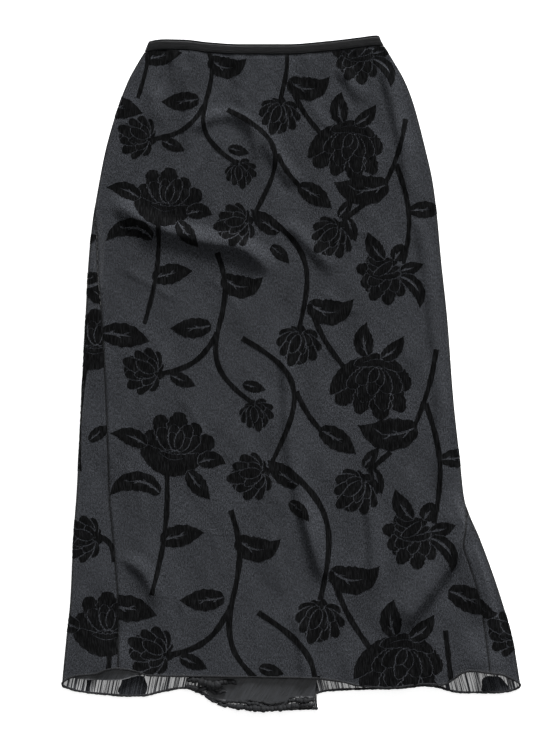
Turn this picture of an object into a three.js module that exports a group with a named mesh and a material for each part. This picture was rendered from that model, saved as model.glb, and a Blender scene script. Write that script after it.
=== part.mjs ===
// A midi skirt in crinkled chiffon with a velvet pattern, laid flat with its front up.
// Millimetres. X runs across the skirt, +Y towards the waist, +Z up from the surface that it lies on.
// Every piece of cloth is a closed wall. "down" is a distance from the waist towards the hem,
// and "across" is a distance to the right of the middle of the hem.

import * as THREE from "three";

// ---------- Driving dimensions ----------

const SHELL = 1.3; // chiffon with its velvet pile
const LINING = 1.0; // smooth lining cloth
const SEAM_GAP = 0.3; // between neighbouring pieces
const SIDE_GAP = 0.6; // at the side seams, measured outside: the side fold narrows it on the inside
const WAIST_GAP = 0.6; // between the waistband and what hangs from it, where both are curved
const HEM_ROLL = 0.5; // how much thicker the rolled hem is
const HEM_ROLL_WIDE = 3.5;
const BACK_LINING_Z = SHELL + HEM_ROLL + SEAM_GAP;
const FRONT_LINING_Z = BACK_LINING_Z + LINING + SEAM_GAP;
const FRONT_Z = FRONT_LINING_Z + LINING + SEAM_GAP; // inner face of the front panel
const LAID_HIGH = FRONT_Z + SHELL; // outer face of the front panel where it has no fold
const FOLD_RADIUS = LAID_HIGH / 2; // the side folds, where the cloth turns under
const QUARTER_TURN = (Math.PI * FOLD_RADIUS) / 2;
const BAND_HIGH = 11.5; // waistband, along the skirt
const BAND_WALL = 2.4;
const BACK_BAND_RISE = 2.5; // the back of the waist lies a little higher than the front
const LINING_INSET = 5.5; // from the side folds
const SWELL = 2.2; // how much the middle lies above the edges
const SLACK_EDGE = 11; // folds die away over this distance from a side fold
const LENGTH = 850; // nominal length, waist to hem

const FRONT_COLUMNS = 40;
const ROWS = 42;
const EDGE_COLUMNS = 3; // narrow columns beside each side seam of the front panel
const STRIP_COLUMNS = 4; // of a back panel: on top, between the seam and the side fold
const TURN_COLUMNS = 4; // round the side fold
const UNDER_COLUMNS = 6; // underneath, to the centre back seam

// ---------- Tables ----------

// Half widths of the flat skirt, left and right of the middle of the hem.
const OUTLINE = [
  { down: -8, left: 186, right: 117 },
  { down: 0, left: 189, right: 120 },
  { down: 12, left: 194, right: 128 },
  { down: 25, left: 202, right: 136 },
  { down: 52, left: 217, right: 151.5 },
  { down: 78, left: 227.5, right: 162 },
  { down: 105, left: 236.5, right: 170 },
  { down: 145, left: 247.5, right: 180 },
  { down: 185, left: 255.5, right: 189 },
  { down: 230, left: 263, right: 195 },
  { down: 290, left: 269.5, right: 200.5 },
  { down: 371, left: 274, right: 209 },
  { down: 477, left: 279.5, right: 217 },
  { down: 560, left: 283.5, right: 226 },
  { down: 606, left: 286, right: 231 },
  { down: 625, left: 287.5, right: 236 },
  { down: 660, left: 290, right: 251 },
  { down: 743, left: 294, right: 280.5 },
  { down: 797, left: 299.5, right: 295.5 },
  { down: 850, left: 304.5, right: 304.5 },
  { down: 900, left: 308, right: 312 },
];

// Side seams, as distances in from the side folds, measured over the front.
const SIDE_SEAMS = [
  { down: 0, left: 0, right: 0 },
  { down: 205, left: 0, right: 0 },
  { down: 265, left: 11, right: 0 },
  { down: 318, left: 17, right: 0 },
  { down: 358, left: 23, right: 0 },
  { down: 477, left: 35.5, right: 0 },
  { down: 556, left: 42, right: 0 },
  { down: 612, left: 47, right: 0 },
  { down: 642, left: 52.5, right: 12 },
  { down: 677, left: 58, right: 29 },
  { down: 700, left: 61, right: 30 },
  { down: 743, left: 66, right: 31 },
  { down: 775, left: 69.5, right: 36 },
  { down: 815, left: 74, right: 39.5 },
  { down: 850, left: 78, right: 41.5 },
];

// The centre back seam leans, because the skirt lies a little twisted.
const BACK_SEAM = [
  { down: 0, across: -28 },
  { down: 900, across: 36 },
];

// The top of the waistband, which sags in the middle.
const WAIST = [
  { across: -195, down: 4 },
  { across: -170, down: 0 },
  { across: -142, down: 0.5 },
  { across: -110, down: 4 },
  { across: -68, down: 6.5 },
  { across: -4, down: 6.5 },
  { across: 49, down: 2.5 },
  { across: 92, down: -2.5 },
  { across: 113, down: -5 },
  { across: 125, down: -4 },
];

// The hem of the front, lifted into two low arches near the sides.
const FRONT_HEM = [
  { across: -308, down: 854 },
  { across: -286, down: 843.5 },
  { across: -259, down: 840.5 },
  { across: -247, down: 835.5 },
  { across: -231, down: 832.5 },
  { across: -217, down: 834.5 },
  { across: -201, down: 838.5 },
  { across: -190, down: 842.5 },
  { across: -153, down: 843.5 },
  { across: -72, down: 844.5 },
  { across: 25, down: 846 },
  { across: 68, down: 851 },
  { across: 93, down: 856.5 },
  { across: 128, down: 859 },
  { across: 180, down: 854 },
  { across: 200, down: 855 },
  { across: 216, down: 847 },
  { across: 227, down: 839 },
  { across: 240, down: 836 },
  { across: 258, down: 838 },
  { across: 278, down: 841 },
  { across: 294, down: 848 },
  { across: 308, down: 856 },
];

// The hem of the left half of the back, which drops beside the centre back slit.
const BACK_LEFT_HEM = [
  { across: -308, down: 856 },
  { across: -281, down: 864.5 },
  { across: -250, down: 868 },
  { across: -215, down: 870.5 },
  { across: -195, down: 870 },
  { across: -174, down: 865 },
  { across: -142, down: 860 },
  { across: -126, down: 864 },
  { across: -110, down: 871 },
  { across: -100, down: 878 },
  { across: -84, down: 883 },
  { across: -57, down: 884.5 },
  { across: -30, down: 889 },
  { across: 40, down: 887 },
];

// The hem of the right half of the back.
const BACK_RIGHT_HEM = [
  { across: 25, down: 869 },
  { across: 49, down: 863.5 },
  { across: 70, down: 862 },
  { across: 145, down: 860 },
  { across: 177, down: 857 },
  { across: 198, down: 859 },
  { across: 209, down: 863 },
  { across: 230, down: 866 },
  { across: 273, down: 866 },
  { across: 294, down: 863 },
  { across: 308, down: 857 },
];

// The lining hems. The back one hangs out under the front beside the slit.
const FRONT_LINING_HEM = [
  { across: -300, down: 845 },
  { across: -268, down: 849 },
  { across: -230, down: 849 },
  { across: -203, down: 843 },
  { across: -180, down: 839.5 },
  { across: 25, down: 843 },
  { across: 68, down: 849 },
  { across: 93, down: 853.5 },
  { across: 114, down: 853.5 },
  { across: 126, down: 844.5 },
  { across: 162, down: 844.5 },
  { across: 172, down: 851 },
  { across: 200, down: 851 },
  { across: 210, down: 845 },
  { across: 228, down: 834 },
  { across: 258, down: 834 },
  { across: 278, down: 837 },
  { across: 300, down: 845 },
];
const BACK_LINING_HEM = [
  { across: -300, down: 836 },
  { across: -140, down: 838 },
  { across: -122, down: 848 },
  { across: -104, down: 875 },
  { across: -78, down: 878 },
  { across: -50, down: 880 },
  { across: -20, down: 884 },
  { across: -3, down: 881 },
  { across: 3, down: 873 },
  { across: 31, down: 872.5 },
  { across: 35, down: 845 },
  { across: 300, down: 828 },
];

// The largest folds of the front. A fold is a ridge along a path of [across, down] points, with its
// own height, its width on either side of the path, and the lengths over which its ends fade.
const FOLDS = [
  {
    fold: "left hip", high: 11.5, leftWide: 22, rightWide: 16, fadeIn: 40, fadeOut: 60,
    path: [[-242, 206], [-197, 240], [-117, 266], [-64, 277], [-12, 316]],
  },
  {
    fold: "middle hip, upper", high: 6.5, leftWide: 19, rightWide: 15, fadeIn: 30, fadeOut: 25,
    path: [[-40, 106], [-25, 148], [12, 200]],
  },
  {
    fold: "middle hip, lower", high: 5.5, leftWide: 16, rightWide: 14, fadeIn: 25, fadeOut: 35,
    path: [[-14, 236], [16, 264], [62, 312]],
  },
  {
    fold: "left waist", high: 4.5, leftWide: 15, rightWide: 14, fadeIn: 20, fadeOut: 30,
    path: [[-136, 124], [-114, 106], [-86, 99], [-60, 107], [-46, 132], [-43, 168]],
  },
  {
    fold: "left dart", high: 4.5, leftWide: 20, rightWide: 18, fadeIn: 25, fadeOut: 30,
    path: [[-184, 50], [-182, 90], [-172, 120]],
  },
  {
    fold: "below the left dart", high: 3.2, leftWide: 17, rightWide: 10, fadeIn: 20, fadeOut: 45,
    path: [[-139, 26], [-138, 100], [-135, 168]],
  },
  {
    fold: "right waist", high: 6, leftWide: 18, rightWide: 14, fadeIn: 18, fadeOut: 30,
    path: [[58, 30], [77, 54], [100, 88]],
  },
  {
    fold: "right side, upper", high: 6, leftWide: 20, rightWide: 12, fadeIn: 18, fadeOut: 45,
    path: [[119, 30], [137, 90], [150, 152], [156, 222]],
  },
  {
    fold: "right side, lower", high: 4.5, leftWide: 19, rightWide: 12, fadeIn: 45, fadeOut: 60,
    path: [[166, 216], [183, 330], [194, 440], [198, 550], [196, 616]],
  },
  {
    fold: "middle, long", high: 6.5, leftWide: 26, rightWide: 13, fadeIn: 50, fadeOut: 45,
    path: [[-10, 392], [-5, 470], [-1, 548], [18, 636], [43, 728]],
  },
  {
    fold: "middle, low", high: 4, leftWide: 22, rightWide: 12, fadeIn: 30, fadeOut: 35,
    path: [[13, 606], [29, 664], [47, 730]],
  },
  {
    fold: "right of the middle", high: 5.5, leftWide: 20, rightWide: 13, fadeIn: 45, fadeOut: 50,
    path: [[99, 580], [108, 660], [112, 752]],
  },
  {
    fold: "right bulge", high: 13, leftWide: 12, rightWide: 44, fadeIn: 55, fadeOut: 45,
    path: [[222, 585], [223, 645], [213, 682], [192, 716], [163, 754], [136, 792]],
  },
  {
    fold: "left low crease", high: 6, leftWide: 20, rightWide: 12, fadeIn: 25, fadeOut: 30,
    path: [[-228, 682], [-192, 712], [-176, 756]],
  },
  {
    fold: "left hem arch", high: 9, leftWide: 36, rightWide: 40, fadeIn: 50, fadeOut: 0,
    path: [[-228, 780], [-230, 838]],
  },
  {
    fold: "right hem arch", high: 11, leftWide: 46, rightWide: 44, fadeIn: 55, fadeOut: 0,
    path: [[248, 775], [252, 842]],
  },
  {
    fold: "middle hem, left", high: 3.5, leftWide: 17, rightWide: 12, fadeIn: 35, fadeOut: 0,
    path: [[8, 742], [20, 850]],
  },
  {
    fold: "middle hem, right", high: 4, leftWide: 24, rightWide: 20, fadeIn: 60, fadeOut: 0,
    path: [[74, 790], [84, 858]],
  },
];

// Soft gathers that run down from the waistband.
const GATHERS = [
  { across: -150, high: 2.6, long: 70 },
  { across: -126, high: 2.2, long: 60 },
  { across: -98, high: 1.8, long: 45 },
  { across: -70, high: 2.0, long: 58 },
  { across: -40, high: 2.2, long: 50 },
  { across: -8, high: 1.8, long: 42 },
  { across: 24, high: 2.2, long: 55 },
  { across: 92, high: 2.0, long: 48 },
];
const GATHER_WIDE = 15;

// ---------- Curves through the tables ----------

// A smooth curve through the rows of a table, read at one column and worked out from its neighbours.
function readTable(rows, by, at, column) {
  const last = rows.length - 1;
  const x = Math.min(Math.max(at, rows[0][by]), rows[last][by]);
  let i = 0;
  while (i < last - 1 && x > rows[i + 1][by]) i += 1;
  const [a, b] = [rows[i], rows[i + 1]];
  const slope = (p, q) => (q[column] - p[column]) / (q[by] - p[by]);
  const chord = slope(a, b);
  const tangent = (before, after) => {
    if (before * after <= 0) return 0;
    return (2 * before * after) / (before + after);
  };
  const startSlope = i > 0 ? tangent(slope(rows[i - 1], a), chord) : chord;
  const endSlope = i < last - 1 ? tangent(chord, slope(b, rows[i + 2])) : chord;
  const span = b[by] - a[by];
  const t = (x - a[by]) / span;
  const hermite = (1 + 2 * t) * (1 - t) ** 2 * a[column] + t * t * (3 - 2 * t) * b[column];
  return hermite + t * (1 - t) * span * ((1 - t) * startSlope - t * endSlope);
}

const leftEdge = (down) => -readTable(OUTLINE, "down", down, "left");
const rightEdge = (down) => readTable(OUTLINE, "down", down, "right");
const seamIn = (side, down) => readTable(SIDE_SEAMS, "down", down, side);
const waistTop = (across) => readTable(WAIST, "across", across, "down");
const hemAt = (table, across) => readTable(table, "across", across, "down");
const smooth = (low, high, value) => THREE.MathUtils.smoothstep(value, low, high);
const mix = THREE.MathUtils.lerp;

// ---------- Folds ----------

const PATH_STEPS = 14;

// A fold's path as short straight steps along a smooth curve through its points.
function pathSteps(path) {
  const corners = path.map(([across, down]) => new THREE.Vector3(across, -down, 0));
  const points = new THREE.CatmullRomCurve3(corners, false, "centripetal").getPoints(PATH_STEPS);
  const reach = [0];
  points.slice(1).forEach((p, i) => reach.push(reach[i] + p.distanceTo(points[i])));
  return { points, reach, long: reach[PATH_STEPS] };
}

const gatherFolds = GATHERS.map((g) => {
  const start = waistTop(g.across) + BAND_HIGH;
  const lean = 0.12 * (g.across + 30);
  return {
    high: g.high,
    leftWide: GATHER_WIDE,
    rightWide: GATHER_WIDE,
    fadeIn: 4,
    fadeOut: 0.8 * g.long,
    path: [[g.across, start], [g.across + lean * 0.4, start + g.long]],
  };
});
const ridges = [...FOLDS, ...gatherFolds].map((fold) => ({ ...fold, ...pathSteps(fold.path) }));

// Height of one ridge at a point: a cosine bell across its path, faded at both ends.
function ridgeHeight(ridge, x, y) {
  let nearest = Infinity;
  let side = 1;
  let along = 0;
  for (let i = 0; i < PATH_STEPS; i += 1) {
    const [a, b] = [ridge.points[i], ridge.points[i + 1]];
    const [dx, dy] = [b.x - a.x, b.y - a.y];
    const t = THREE.MathUtils.clamp(((x - a.x) * dx + (y - a.y) * dy) / (dx * dx + dy * dy), 0, 1);
    const distance = Math.hypot(x - a.x - t * dx, y - a.y - t * dy);
    if (distance < nearest) {
      nearest = distance;
      side = dx * (y - a.y) - dy * (x - a.x);
      along = mix(ridge.reach[i], ridge.reach[i + 1], t);
    }
  }
  const wide = side > 0 ? ridge.leftWide : ridge.rightWide;
  if (nearest >= wide) return 0;
  const bell = (1 + Math.cos((Math.PI * nearest) / wide)) / 2;
  const start = ridge.fadeIn > 0 ? smooth(0, ridge.fadeIn, along) : 1;
  const end = ridge.fadeOut > 0 ? smooth(0, ridge.fadeOut, ridge.long - along) : 1;
  return ridge.high * bell * start * end;
}

// How far the front lies above its flat level, at a point of the skirt.
function foldHeight(x, y) {
  const inside = Math.min(x - leftEdge(-y), rightEdge(-y) - x) - FOLD_RADIUS;
  const edge = smooth(0, SLACK_EDGE, inside);
  const swell = SWELL * smooth(0, 7 * SLACK_EDGE, inside);
  const body = ridges.reduce((sum, ridge) => sum + ridgeHeight(ridge, x, y), swell);
  return edge * body;
}

// ---------- The cross-section ----------

// A point of the outer face at a distance "along" the cloth from the outermost line of a side fold,
// positive over the front and negative underneath, with the direction that it faces.
function onSkirt(side, along, down) {
  const mirror = side === "left" ? 1 : -1;
  const edge = side === "left" ? leftEdge(down) : rightEdge(down);
  const centre = edge + mirror * FOLD_RADIUS;
  const y = -down;
  if (along < -QUARTER_TURN) {
    const x = centre + mirror * (-along - QUARTER_TURN);
    return { point: new THREE.Vector3(x, y, 0), normal: new THREE.Vector3(0, 0, -1) };
  }
  if (along < QUARTER_TURN) {
    const turn = along / FOLD_RADIUS;
    const normal = new THREE.Vector3(-mirror * Math.cos(turn), 0, Math.sin(turn));
    const point = new THREE.Vector3(centre, y, FOLD_RADIUS).addScaledVector(normal, FOLD_RADIUS);
    return { point, normal };
  }
  return onFront(centre + mirror * (along - QUARTER_TURN), y);
}

// A point of the outer face on top, with its normal from the slope of the folds.
function onFront(x, y) {
  const step = 0.5;
  const slopeX = (foldHeight(x + step, y) - foldHeight(x - step, y)) / (2 * step);
  const slopeY = (foldHeight(x, y + step) - foldHeight(x, y - step)) / (2 * step);
  const normal = new THREE.Vector3(-slopeX, -slopeY, 1).normalize();
  return { point: new THREE.Vector3(x, y, LAID_HIGH + foldHeight(x, y)), normal };
}

// ---------- Walls ----------

// A closed wall from a grid of outer points and a grid of inner points: grid[row][column].
function wall(outer, inner) {
  const rows = outer.length;
  const columns = outer[0].length;
  const points = [outer, inner].flat(2);
  const positions = points.flatMap((p) => [p.x, p.y, p.z]);
  const at = (layer, row, column) => (layer * rows + row) * columns + column;
  const faces = [];
  const quad = (a, b, c, d) => faces.push(a, b, c, a, c, d);
  for (let r = 0; r < rows - 1; r += 1) {
    for (let c = 0; c < columns - 1; c += 1) {
      quad(at(0, r, c), at(0, r + 1, c), at(0, r + 1, c + 1), at(0, r, c + 1));
      quad(at(1, r, c), at(1, r, c + 1), at(1, r + 1, c + 1), at(1, r + 1, c));
    }
    quad(at(0, r, 0), at(1, r, 0), at(1, r + 1, 0), at(0, r + 1, 0));
    const end = columns - 1;
    quad(at(0, r, end), at(0, r + 1, end), at(1, r + 1, end), at(1, r, end));
  }
  for (let c = 0; c < columns - 1; c += 1) {
    const end = rows - 1;
    quad(at(0, 0, c), at(0, 0, c + 1), at(1, 0, c + 1), at(1, 0, c));
    quad(at(0, end, c), at(1, end, c), at(1, end, c + 1), at(0, end, c + 1));
  }
  const geometry = new THREE.BufferGeometry();
  geometry.setAttribute("position", new THREE.Float32BufferAttribute(positions, 3));
  geometry.setIndex(faces);
  geometry.computeVertexNormals();
  return geometry;
}

// Rows from waist to hem as shares of the length, closer together where the folds are strongest.
function rowShares() {
  const bump = (t, middle, wide) => Math.exp(-(((t - middle) / wide) ** 2));
  const density = (t) => 1 + 0.9 * bump(t, 0.3, 0.09) + 0.5 * bump(t, 0.85, 0.1);
  const samples = 400;
  const total = [0];
  for (let i = 0; i < samples; i += 1) total.push(total[i] + density((i + 0.5) / samples));
  const shares = [];
  let i = 0;
  for (let row = 0; row < ROWS; row += 1) {
    const target = (row / (ROWS - 1)) * total[samples];
    while (i < samples - 1 && total[i + 1] < target) i += 1;
    shares.push((i + (target - total[i]) / (total[i + 1] - total[i])) / samples);
  }
  return shares;
}
const ROW_SHARES = rowShares();

// The rows of one column between its top and its hem: even shares down to the rolled hem,
// then the start of the roll, and the hem itself. "roll" says how much of the roll a row has.
function columnRows(top, hem) {
  const body = ROW_SHARES.map((share) => ({ down: mix(top, hem - HEM_ROLL_WIDE - 1, share), roll: 0 }));
  return [...body, { down: hem - HEM_ROLL_WIDE, roll: 1 }, { down: hem, roll: 1 }];
}

// Walks down a column whose place across depends on how far down it is: the place is worked out,
// the rows are read at that place, and that is repeated until the two agree.
function settle(row, across, topAt, hemAtPlace) {
  let down = LENGTH * (row / (ROWS + 1));
  let roll = 0;
  for (let pass = 0; pass < 5; pass += 1) {
    const x = across(down);
    ({ down, roll } = columnRows(topAt(x), hemAtPlace(x))[row]);
  }
  return { down, roll };
}

const panelTop = (x) => waistTop(x) + BAND_HIGH + WAIST_GAP;

// Adds a piece's outer and inner point, with the roll on the side away from the floor.
function thicken(outer, inner, { point, normal }, roll) {
  const proud = normal.z < -0.5 ? 0 : HEM_ROLL * roll;
  const deep = normal.z < -0.5 ? HEM_ROLL * roll : 0;
  outer.push(point.clone().addScaledVector(normal, proud));
  inner.push(point.clone().addScaledVector(normal, -SHELL - deep));
}

// ---------- Pieces ----------

// The front panel, from side seam to side seam. Where a seam lies on the side fold, its edge turns down.
function frontPanel() {
  const nearSeam = (side, column, down) => {
    const fromSeam = SIDE_GAP / 2 + (column * QUARTER_TURN) / EDGE_COLUMNS;
    return seamIn(side, down) + fromSeam;
  };
  const middle = FRONT_COLUMNS - 2 * EDGE_COLUMNS;
  const place = (column, down) => {
    if (column <= EDGE_COLUMNS) return onSkirt("left", nearSeam("left", column, down), down);
    if (column >= FRONT_COLUMNS - EDGE_COLUMNS) {
      return onSkirt("right", nearSeam("right", FRONT_COLUMNS - column, down), down);
    }
    const start = onSkirt("left", nearSeam("left", EDGE_COLUMNS, down), down).point.x;
    const end = onSkirt("right", nearSeam("right", EDGE_COLUMNS, down), down).point.x;
    return onFront(mix(start, end, (column - EDGE_COLUMNS) / middle), -down);
  };
  const [outerGrid, innerGrid] = [[], []];
  for (let row = 0; row < ROWS + 2; row += 1) {
    const [outer, inner] = [[], []];
    for (let column = 0; column <= FRONT_COLUMNS; column += 1) {
      const across = (down) => place(column, down).point.x;
      const { down, roll } = settle(row, across, panelTop, (x) => hemAt(FRONT_HEM, x));
      thicken(outer, inner, place(column, down), roll);
    }
    outerGrid.push(outer);
    innerGrid.push(inner);
  }
  return wall(outerGrid, innerGrid);
}

// Half of the back: a strip on top from the side seam, round the side fold, and underneath
// to the centre back seam.
function backPanel(side, hemTable) {
  const mirror = side === "left" ? 1 : -1;
  const columns = STRIP_COLUMNS + TURN_COLUMNS + UNDER_COLUMNS;
  const alongAt = (column, down) => {
    const seam = seamIn(side, down) - SIDE_GAP / 2;
    const onTop = seam + QUARTER_TURN;
    const turn = Math.min(2 * QUARTER_TURN, onTop / 2);
    const strip = onTop - turn;
    if (column <= STRIP_COLUMNS) return seam - (strip * column) / STRIP_COLUMNS;
    if (column <= STRIP_COLUMNS + TURN_COLUMNS) {
      return seam - strip - (turn * (column - STRIP_COLUMNS)) / TURN_COLUMNS;
    }
    const edge = side === "left" ? leftEdge(down) : rightEdge(down);
    const middle = readTable(BACK_SEAM, "down", down, "across");
    const under = mirror * (middle - edge) - FOLD_RADIUS - SEAM_GAP / 2;
    return -QUARTER_TURN - (under * (column - STRIP_COLUMNS - TURN_COLUMNS)) / UNDER_COLUMNS;
  };
  const [outerGrid, innerGrid] = [[], []];
  for (let row = 0; row < ROWS + 2; row += 1) {
    const [outer, inner] = [[], []];
    for (let column = 0; column <= columns; column += 1) {
      let beneath = 0;
      const across = (down) => {
        beneath = turnedUnder(alongAt(column, down));
        return onSkirt(side, alongAt(column, down), down).point.x;
      };
      const topAt = (x) => panelTop(x) - BACK_BAND_RISE * beneath;
      const hem = (x) => mix(hemAt(FRONT_HEM, x), hemAt(hemTable, x), beneath);
      const { down, roll } = settle(row, across, topAt, hem);
      thicken(outer, inner, onSkirt(side, alongAt(column, down), down), roll);
    }
    outerGrid.push(outer);
    innerGrid.push(inner);
  }
  return side === "left" ? flip(wall(outerGrid, innerGrid)) : wall(outerGrid, innerGrid);
}

// 0 on top of the skirt, 1 underneath, and between them round the side fold.
function turnedUnder(along) {
  return 1 - smooth(-QUARTER_TURN, QUARTER_TURN, along);
}

// Turns every face of a geometry round.
function flip(geometry) {
  const index = geometry.index.array;
  for (let i = 0; i < index.length; i += 3) [index[i + 1], index[i + 2]] = [index[i + 2], index[i + 1]];
  geometry.computeVertexNormals();
  return geometry;
}

// A flat lining panel at one level, from the waist to its own hem.
function liningPanel(level, hemTable, rise) {
  const columns = 25;
  const rows = 12;
  const [top, bottom] = [[], []];
  for (let row = 0; row <= rows; row += 1) {
    const [upper, lower] = [[], []];
    for (let column = 0; column <= columns; column += 1) {
      let down = LENGTH * (row / rows);
      let x = 0;
      for (let pass = 0; pass < 5; pass += 1) {
        x = mix(leftEdge(down) + LINING_INSET, rightEdge(down) - LINING_INSET, column / columns);
        down = mix(panelTop(x) - rise, hemAt(hemTable, x), row / rows);
      }
      upper.push(new THREE.Vector3(x, -down, level + LINING));
      lower.push(new THREE.Vector3(x, -down, level));
    }
    top.push(upper);
    bottom.push(lower);
  }
  return wall(top, bottom);
}

// The waistband: one flattened ring of doubled cloth round the top.
function waistband() {
  const halfTurn = 6;
  const straight = 28;
  const across = [0, 1 / 3, 2 / 3, 1];
  const radius = FOLD_RADIUS;
  const stations = [];
  const quarter = Math.PI / 2;
  const step = Math.PI / halfTurn;
  for (let i = 0; i < straight; i += 1) stations.push({ share: i / straight, turn: quarter });
  for (let i = 0; i < halfTurn; i += 1) stations.push({ share: 1, turn: quarter - i * step });
  for (let i = 0; i < straight; i += 1) stations.push({ share: 1 - i / straight, turn: -quarter });
  for (let i = 0; i < halfTurn; i += 1) stations.push({ share: 0, turn: -quarter - i * step });
  const loops = stations.map(({ share, turn }) => {
    const out = new THREE.Vector3(Math.cos(turn), 0, Math.sin(turn));
    const behind = (1 - Math.sin(turn)) / 2;
    const point = (part, depth) => {
      let down = BAND_HIGH * part;
      let x = 0;
      for (let pass = 0; pass < 4; pass += 1) {
        x = mix(leftEdge(down) + radius, rightEdge(down) - radius, share);
        down = waistTop(x) - BACK_BAND_RISE * behind + BAND_HIGH * part;
      }
      return new THREE.Vector3(x, -down, radius).addScaledVector(out, radius - depth);
    };
    const outside = across.map((part) => point(part, 0));
    const inside = [...across].reverse().map((part) => point(part, BAND_WALL));
    return [...outside, ...inside];
  });
  const positions = loops.flatMap((loop) => loop.flatMap((p) => [p.x, p.y, p.z]));
  const size = 2 * across.length;
  const at = (station, i) => (station % stations.length) * size + (i % size);
  const faces = [];
  for (let s = 0; s < stations.length; s += 1) {
    for (let i = 0; i < size; i += 1) {
      faces.push(at(s, i), at(s, i + 1), at(s + 1, i + 1), at(s, i), at(s + 1, i + 1), at(s + 1, i));
    }
  }
  const geometry = new THREE.BufferGeometry();
  geometry.setAttribute("position", new THREE.Float32BufferAttribute(positions, 3));
  geometry.setIndex(faces);
  geometry.computeVertexNormals();
  return geometry;
}

// ---------- The skirt ----------

const chiffon = () => new THREE.MeshStandardMaterial({ color: 0x35363b, roughness: 0.8, metalness: 0 });
const liningCloth = () => new THREE.MeshStandardMaterial({ color: 0x2b2e33, roughness: 0.45, metalness: 0 });
const satin = () => new THREE.MeshStandardMaterial({ color: 0x292b2e, roughness: 0.4, metalness: 0 });

const skirt = new THREE.Group();
const piece = (name, geometry, material) => {
  const mesh = new THREE.Mesh(geometry, material);
  mesh.name = name;
  skirt.add(mesh);
};

piece("front_panel", frontPanel(), chiffon());
piece("back_panel_left", backPanel("left", BACK_LEFT_HEM), chiffon());
piece("back_panel_right", backPanel("right", BACK_RIGHT_HEM), chiffon());
piece("front_lining", liningPanel(FRONT_LINING_Z, FRONT_LINING_HEM, 0), liningCloth());
piece("back_lining", liningPanel(BACK_LINING_Z, BACK_LINING_HEM, BACK_BAND_RISE), liningCloth());
piece("waistband", waistband(), satin());

// The origin goes under the middle of the skirt, on the surface that it lies on.
const box = new THREE.Box3().setFromObject(skirt);
const middle = box.getCenter(new THREE.Vector3());
skirt.position.set(-middle.x, -middle.y, -box.min.z);

export default skirt;
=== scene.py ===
# %% [markdown]
# # A velvet-patterned midi skirt, laid flat with its front up
#
# This lesson dresses a packed model of a skirt. The model is a frame: its pieces have the right size
# and place, but they are thick, plain walls. Here each one gets a thin shell of cloth on the same form,
# with finer creases, rolled hems, a crinkle in the weave and velvet roses that stand up from it.
# The frame is in metres. The skirt is described in millimetres: "across" is a distance to the right of
# the middle of the hem, and "down" is a distance from the waist towards the hem.

# %% Load the packed model
import math

import bpy
import numpy as np
from mathutils.geometry import delaunay_2d_cdt
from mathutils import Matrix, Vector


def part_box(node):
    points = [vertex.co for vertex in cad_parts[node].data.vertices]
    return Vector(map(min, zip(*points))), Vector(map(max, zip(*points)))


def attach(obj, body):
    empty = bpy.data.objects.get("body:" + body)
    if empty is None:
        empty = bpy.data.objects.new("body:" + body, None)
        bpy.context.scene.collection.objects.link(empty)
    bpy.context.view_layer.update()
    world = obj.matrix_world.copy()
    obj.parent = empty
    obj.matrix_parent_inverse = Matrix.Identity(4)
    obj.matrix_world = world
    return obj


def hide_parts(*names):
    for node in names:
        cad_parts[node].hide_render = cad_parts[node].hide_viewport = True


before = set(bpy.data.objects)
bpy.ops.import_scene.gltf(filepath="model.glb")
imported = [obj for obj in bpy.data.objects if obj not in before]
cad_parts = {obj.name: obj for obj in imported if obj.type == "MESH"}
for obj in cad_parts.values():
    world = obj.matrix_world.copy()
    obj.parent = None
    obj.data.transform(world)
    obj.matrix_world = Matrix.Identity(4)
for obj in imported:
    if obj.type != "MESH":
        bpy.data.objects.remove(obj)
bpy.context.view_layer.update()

MM = 0.001
rng = np.random.default_rng(7)
print("nodes:", sorted(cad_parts))

# %% [markdown]
# ## Floor, light and camera
#
# A skirt laid on a pale table and seen from straight above shows its folds only by light that comes
# from one side. A lamp close by would light one end more than the other, so a wide, low sun shines from
# beyond the waist, and a weak high one and the sky fill in the rest. A long lens far above keeps the
# outline true.

# %% A camera straight above
VIEW_TALL = 975  # what the view takes in from top to bottom, in mm
VIEW_CENTRE = (-21.3, 8.0)  # where the view's middle falls on the skirt's box, in mm
CAMERA_HIGH = 3.4  # in metres
SENSOR = 36.0  # in mm

scene = bpy.context.scene
scene.view_settings.view_transform = "Standard"


def add_camera():
    """A camera that looks straight down, with the waist at the top of the view. Its lens is the
    sensor's size times the camera's height, over the size of the view."""
    data = bpy.data.cameras.new("camera")
    data.sensor_width = SENSOR
    data.lens = SENSOR * CAMERA_HIGH / (VIEW_TALL * MM)
    data.clip_end = 20
    camera = bpy.data.objects.new("camera", data)
    camera.location = (VIEW_CENTRE[0] * MM, VIEW_CENTRE[1] * MM, CAMERA_HIGH)
    scene.collection.objects.link(camera)
    scene.camera = camera


add_camera()
print("camera lens %.0f mm" % scene.camera.data.lens)

# %% A low sun, a high one and the sky
LOW_SUN = (6.7, 22)  # strength, and how wide its disc is in degrees
HIGH_SUN = (0.75, 60)
SUN_HEIGHT = math.radians(23.5)  # of the low sun over the table
SUN_SIDE = math.radians(13)  # how far it stands to the right of straight beyond the waist
HIGH_SUN_TURN = (math.radians(-8), math.radians(6), 0)
SKY = 0.2  # strength


def add_sun(name, strength, spread, turn):
    """A sun lamp whose disc is `spread` degrees wide, turned from straight down by `turn` radians."""
    data = bpy.data.lights.new(name, "SUN")
    data.energy = strength
    data.angle = math.radians(spread)
    lamp = bpy.data.objects.new(name, data)
    lamp.rotation_euler = turn
    scene.collection.objects.link(lamp)


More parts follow.
